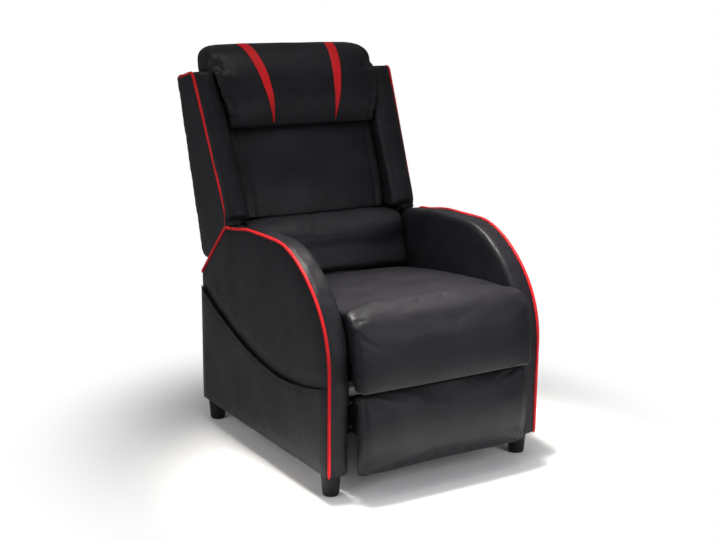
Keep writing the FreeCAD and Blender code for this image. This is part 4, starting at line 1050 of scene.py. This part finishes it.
def make_pillow():
    """Headrest pillow: a block between the wings, a lobe before them and a crown over them."""
    low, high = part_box("headrest_pillow")
    inner = []
    for z in np.linspace(low.z - 0.004, INNER_TOP, 30):
        half = float(np.interp(z, [WING_LOW, WING_HIGH], [INNER_HALF_LOW, INNER_HALF_HIGH]))
        inner.append((z, half, pillow_front(z), float(np.interp(z, INNER_Z, INNER_REAR))))
    lobe = []
    for z in np.linspace(LOBE_Z[0], INNER_TOP, 24):
        rear = wing_front(z) - 0.003 if z < WING_HIGH + 0.002 else LOBE_REAR_HIGH
        lobe.append((z, float(np.interp(z, LOBE_Z, LOBE_HALF)), pillow_front(z), rear))
    crown = []
    for z in np.linspace(CROWN_Z[0], PILLOW_Z[-1], 20):
        half = float(np.interp(z, CROWN_Z, CROWN_HALF))
        crown.append((z, half, pillow_front(z), float(np.interp(z, CROWN_Z, CROWN_REAR))))
    verts, faces = oval_stack(inner, 9.0)
    obj = new_object("head_pillow", verts, faces, BLACK)
    join(obj, *oval_stack(lobe, 5.0))
    join(obj, *oval_stack(crown, 5.5))
    remesh(obj, FINE_VOXEL)
    soften(obj, 4)
    co = points(obj)
    d = co[:, 1] - ARM_FRONT
    edge = wing_front(WING_HIGH)
    top = WING_HIGH - (d - edge) * (WING_HIGH - WING_REAR_TOP) / WING_TOP_RUN
    beyond = ease(np.abs(co[:, 0]), *SADDLE_X) * ease(d, edge - 0.010, edge)
    co[:, 2] -= np.maximum(SADDLE_Z - top, 0) * beyond * (1 - ease(co[:, 2], *SADDLE_FADE))
    place_points(obj, co)
    no = normals(obj)
    held = most(ease(no[:, 1], 0.4, 0.9) * ease(PILLOW_HELD_Z - co[:, 2], 0.0, 0.02),
                ease(-no[:, 2], 0.3, 0.7))
    swell(obj, held, 3.0, 0.006, frames=14)
    soften(obj, 3)
    co = points(obj)
    seam = np.interp(co[:, 2], PILLOW_SEAM_Z, PILLOW_SEAM_X)
    ends = ease(np.abs(co[:, 0]), 0.185, 0.235)
    ahead = ease(-normals(obj)[:, 1], -0.35, 0.2)
    amount = 0.0007 * ripple(co, 0.12, 61)
    amount += 0.0008 * ripple(co * np.array([1.0, 1.0, 2.1]), 0.060, 62) * ends
    amount -= 0.0026 * dent(np.abs(co[:, 0]) - seam, 0.0042) * ahead
    push(obj, amount)
    soften(obj, 1)
    finer(obj)
    keep(obj, "back", "black_leather", "headrest_pillow")
    make_stripes(obj, low, high)


def stripe_ray(step):
    """Direction, seen from inside the pillow, of one of the rays that lay a blade down."""
    angle = math.radians(STRIPE_FROM + STRIPE_SWING * step / STRIPE_RAYS)
    return Vector((0.0, -math.cos(angle), math.sin(angle)))


def make_stripes(pillow, low, high):
    """Two red blades sewn on the pillow, wide over the top and pointed at the foot."""
    bpy.context.view_layer.update()
    tree = BVHTree.FromObject(pillow, bpy.context.evaluated_depsgraph_get())
    centre_y = (low.y + high.y) / 2 + STRIPE_CENTRE_BACK
    centre_z = low.z + STRIPE_CENTRE_UP
    along = 90
    across = 10
    for name, s in (("left", 1), ("right", -1)):
        ridge = []
        for j in range(STRIPE_RAYS + 1):
            reach = stripe_ray(j)
            start = Vector((s * STRIPE_TEST_X, centre_y, centre_z)) + reach * STRIPE_AWAY
            hit = tree.ray_cast(start, -reach)[0]
            ridge.append((hit.y, hit.z))
        ridge = np.array(ridge)
        run = np.concatenate([[0.0], np.cumsum(np.linalg.norm(np.diff(ridge, axis=0), axis=1))])
        foot = float(np.interp(0.0, ridge[:, 1] - (low.z + STRIPE_FOOT_UP), run))
        head = run[-1]
        verts = []
        faces = []
        for j in range(along + 1):
            t = j / along
            spot = foot + (head - foot) * t
            reach = stripe_ray(float(np.interp(spot, run, np.arange(STRIPE_RAYS + 1))))
            middle = STRIPE_FOOT_X + STRIPE_HEAD_OUT * t ** 1.2
            wide = STRIPE_WIDE * (1 - (1 - t) ** 2.6) + 0.0006
            for i in range(across + 1):
                x = s * (middle + wide * (i / across - 0.5))
                start = Vector((x, centre_y, centre_z)) + reach * STRIPE_AWAY
                hit, normal, _, _ = tree.ray_cast(start, -reach)
                edge = min(i, across - i)
                lift = (0.0002, 0.0009)[edge > 0]
                verts.append(hit + normal * lift)
        for j in range(along):
            for i in range(across):
                a = j * (across + 1) + i
                faces.append((a, a + 1, a + across + 2, a + across + 1))
        blade = new_object(name + "_stripe", verts, faces, RED)
        mod = blade.modifiers.new("skin", "SOLIDIFY")
        mod.thickness = STRIPE_SKIN
        mod.offset = -1.0
        settle(blade)
        outward(blade)
        blade.data.shade_smooth()
        keep(blade, "back", "red_leather", *(["headrest_stripes"] if s == 1 else []))


def make_wings():
    """Side wings and their red piping."""
    obj = copy_of("left_wing_pad", "left_wing", "wing_boards")
    bm = bmesh.new()
    bm.from_mesh(obj.data)
    bmesh.ops.delete(bm, geom=[v for v in bm.verts if v.co.x < 0], context="VERTS")
    bm.to_mesh(obj.data)
    bm.free()
    tree = surface_of(NODES["left_wing"])
    remesh(obj, FINE_VOXEL)
    soften(obj, 9)
    low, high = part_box("left_wing")
    fit_box(obj, low, high)
    co = points(obj)
    no = normals(obj)
    outer = ease(no[:, 0], 0.5, 0.9)
    ahead = ease(-no[:, 1], 0.2, 0.7)
    amount = 0.0006 * ripple(co, 0.09, 71) + ahead * 0.0008 * ripple(co, 0.05, 72)
    amount += outer * 0.0012 * (1 + 0.6 * ripple(co, 0.16, 73))
    push(obj, amount)
    finer(obj)
    keep(obj, "back", "black_leather", "left_wing")
    other = mirror_of(obj, "right_wing_pad")
    keep(other, "back", "black_leather", "right_wing")

    inset = PIPING_R / 2 + WING_CROWN / 2
    tilt = (WING_OUT_HIGH - WING_OUT_LOW) / (WING_HIGH - WING_LOW)
    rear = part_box("left_wing_piping")[1].y - ARM_FRONT
    foot = []
    for d in WING_FOOT_DEPTHS:
        hit = tree.ray_cast(Vector((WING_OUT_LOW - 0.004, ARM_FRONT + d, 0.3)), Vector((0, 0, 1)))[0]
        if hit:
            foot.append((d, hit.z + 0.001))
    run = foot + [(wing_front(WING_LOW + 0.006) + inset, WING_LOW + 0.006),
                  (wing_front(WING_LOW + 0.02) + inset, WING_LOW + 0.02),
                  (wing_front(WING_HIGH - 0.012) + inset, WING_HIGH - 0.012),
                  (wing_front(WING_HIGH - 0.004) + inset + 0.002, WING_HIGH - 0.004),
                  (wing_front(WING_HIGH) + inset + 0.010, WING_HIGH - 0.0045), (rear, WING_REAR_TOP)]
    path = [(WING_OUT_LOW - PIPING_R / 2 + (z - WING_LOW) * tilt, ARM_FRONT + d, z) for d, z in run]
    path = along_path(path, 0.005)
    for _ in range(4):
        path[1:-1] = (path[:-2] + 2 * path[1:-1] + path[2:]) / 4
    verts, faces = tube(path, PIPING_R)
    welt = new_object("left_wing_welt", verts, faces, RED)
    keep(welt, "back", "red_leather", "left_wing_piping")
    keep(mirror_of(welt, "right_wing_welt"), "back", "red_leather", "right_wing_piping")


def make_back_panel():
    """Padded cover of the back's rear."""
    obj = cushion("back_panel", "back_cover", voxel=FINE_VOXEL, rounds=3)
    co = points(obj)
    no = normals(obj)
    rear = ease(no[:, 1], 0.5, 0.9)
    low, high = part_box("back_cover")
    across = np.minimum(high.x - np.abs(co[:, 0]), np.minimum(co[:, 2] - low.z, high.z - co[:, 2]))
    fill = 1 - np.exp(-np.maximum(across, 0) / 0.05)
    push(obj, rear * (0.0025 * fill + 0.0008 * ripple(co, 0.13, 81)))
    finer(obj)
    keep(obj, "back", "black_leather", "back_cover")


# Stage

def make_stage():
    """World light, floor and lamps."""
    world = bpy.data.worlds.new("studio")
    SCENE.world = world
    world.use_nodes = True
    tree = world.node_tree
    tree.nodes.clear()
    out = node(tree, "ShaderNodeOutputWorld")
    mix = node(tree, "ShaderNodeMixShader")
    path = node(tree, "ShaderNodeLightPath")
    lit = node(tree, "ShaderNodeBackground")
    lit.inputs["Color"].default_value = (0.96, 0.98, 1.0, 1.0)
    lit.inputs["Strength"].default_value = AMBIENT
    seen = node(tree, "ShaderNodeBackground")
    seen.inputs["Strength"].default_value = 1.0
    seen.inputs["Color"].default_value = (1.0, 1.0, 1.0, 1.0)
    tree.links.new(path.outputs["Is Camera Ray"], mix.inputs["Fac"])
    tree.links.new(lit.outputs[0], mix.inputs[1])
    tree.links.new(seen.outputs[0], mix.inputs[2])
    tree.links.new(mix.outputs[0], out.inputs["Surface"])

    corners = [(x * FLOOR_HALF, y * FLOOR_HALF, -FLOOR_DROP)
               for x, y in ((-1, -1), (1, -1), (1, 1), (-1, 1))]
    floor = new_object("floor", corners, [(0, 1, 2, 3)], floor_material())
    for name, values in LAMPS.items():
        lamp(name, *values)


def floor_material():
    """Pale floor that takes the shadow near the chair and runs out to plain white."""
    mat, tree, shader, place = new_material("pale_floor", 0.9, 0.0)
    tree.links.new(ramp(tree, noise_at(tree, place, 2.0), 0.0, 1.0, (0.93, 0.93, 0.93), (0.95, 0.95, 0.95)),
                   shader.inputs["Base Color"])
    away = node(tree, "ShaderNodeVectorMath", operation="LENGTH")
    tree.links.new(place, away.inputs[0])
    reach = node(tree, "ShaderNodeMapRange", interpolation_type="SMOOTHSTEP")
    reach.inputs["From Min"].default_value = 0.45
    reach.inputs["From Max"].default_value = 0.95
    tree.links.new(away.outputs["Value"], reach.inputs["Value"])
    path = node(tree, "ShaderNodeLightPath")
    share = node(tree, "ShaderNodeMath", operation="MULTIPLY")
    tree.links.new(path.outputs["Is Camera Ray"], share.inputs[0])
    tree.links.new(reach.outputs["Result"], share.inputs[1])
    white = node(tree, "ShaderNodeEmission")
    white.inputs["Strength"].default_value = 1.0
    mix = node(tree, "ShaderNodeMixShader")
    tree.links.new(share.outputs[0], mix.inputs["Fac"])
    tree.links.new(shader.outputs[0], mix.inputs[1])
    tree.links.new(white.outputs[0], mix.inputs[2])
    tree.links.new(mix.outputs[0], tree.nodes["Material Output"].inputs["Surface"])
    return mat


def lamp(name, place, size, power, colour, target, angle):
    """Square area light aimed at a target."""
    data = bpy.data.lights.new(name, "AREA")
    data.shape = "SQUARE"
    data.size = size
    data.energy = power
    data.color = colour
    data.spread = math.radians(angle)
    obj = bpy.data.objects.new(name, data)
    obj.location = place
    obj.visible_camera = False
    aim = Vector(target) - Vector(place)
    obj.rotation_mode = "QUATERNION"
    obj.rotation_quaternion = aim.to_track_quat("-Z", "Y")
    SCENE.collection.objects.link(obj)


SCENE.view_settings.view_transform = "Standard"
make_camera()
make_stage()
dress_nodes()
make_base()
seat_surface = make_seat()
make_covers()
make_footrest_pad()
make_lumbar(seat_surface)
make_mid_back()
make_pillow()
make_wings()
make_back_panel()

bpy.context.view_layer.update()
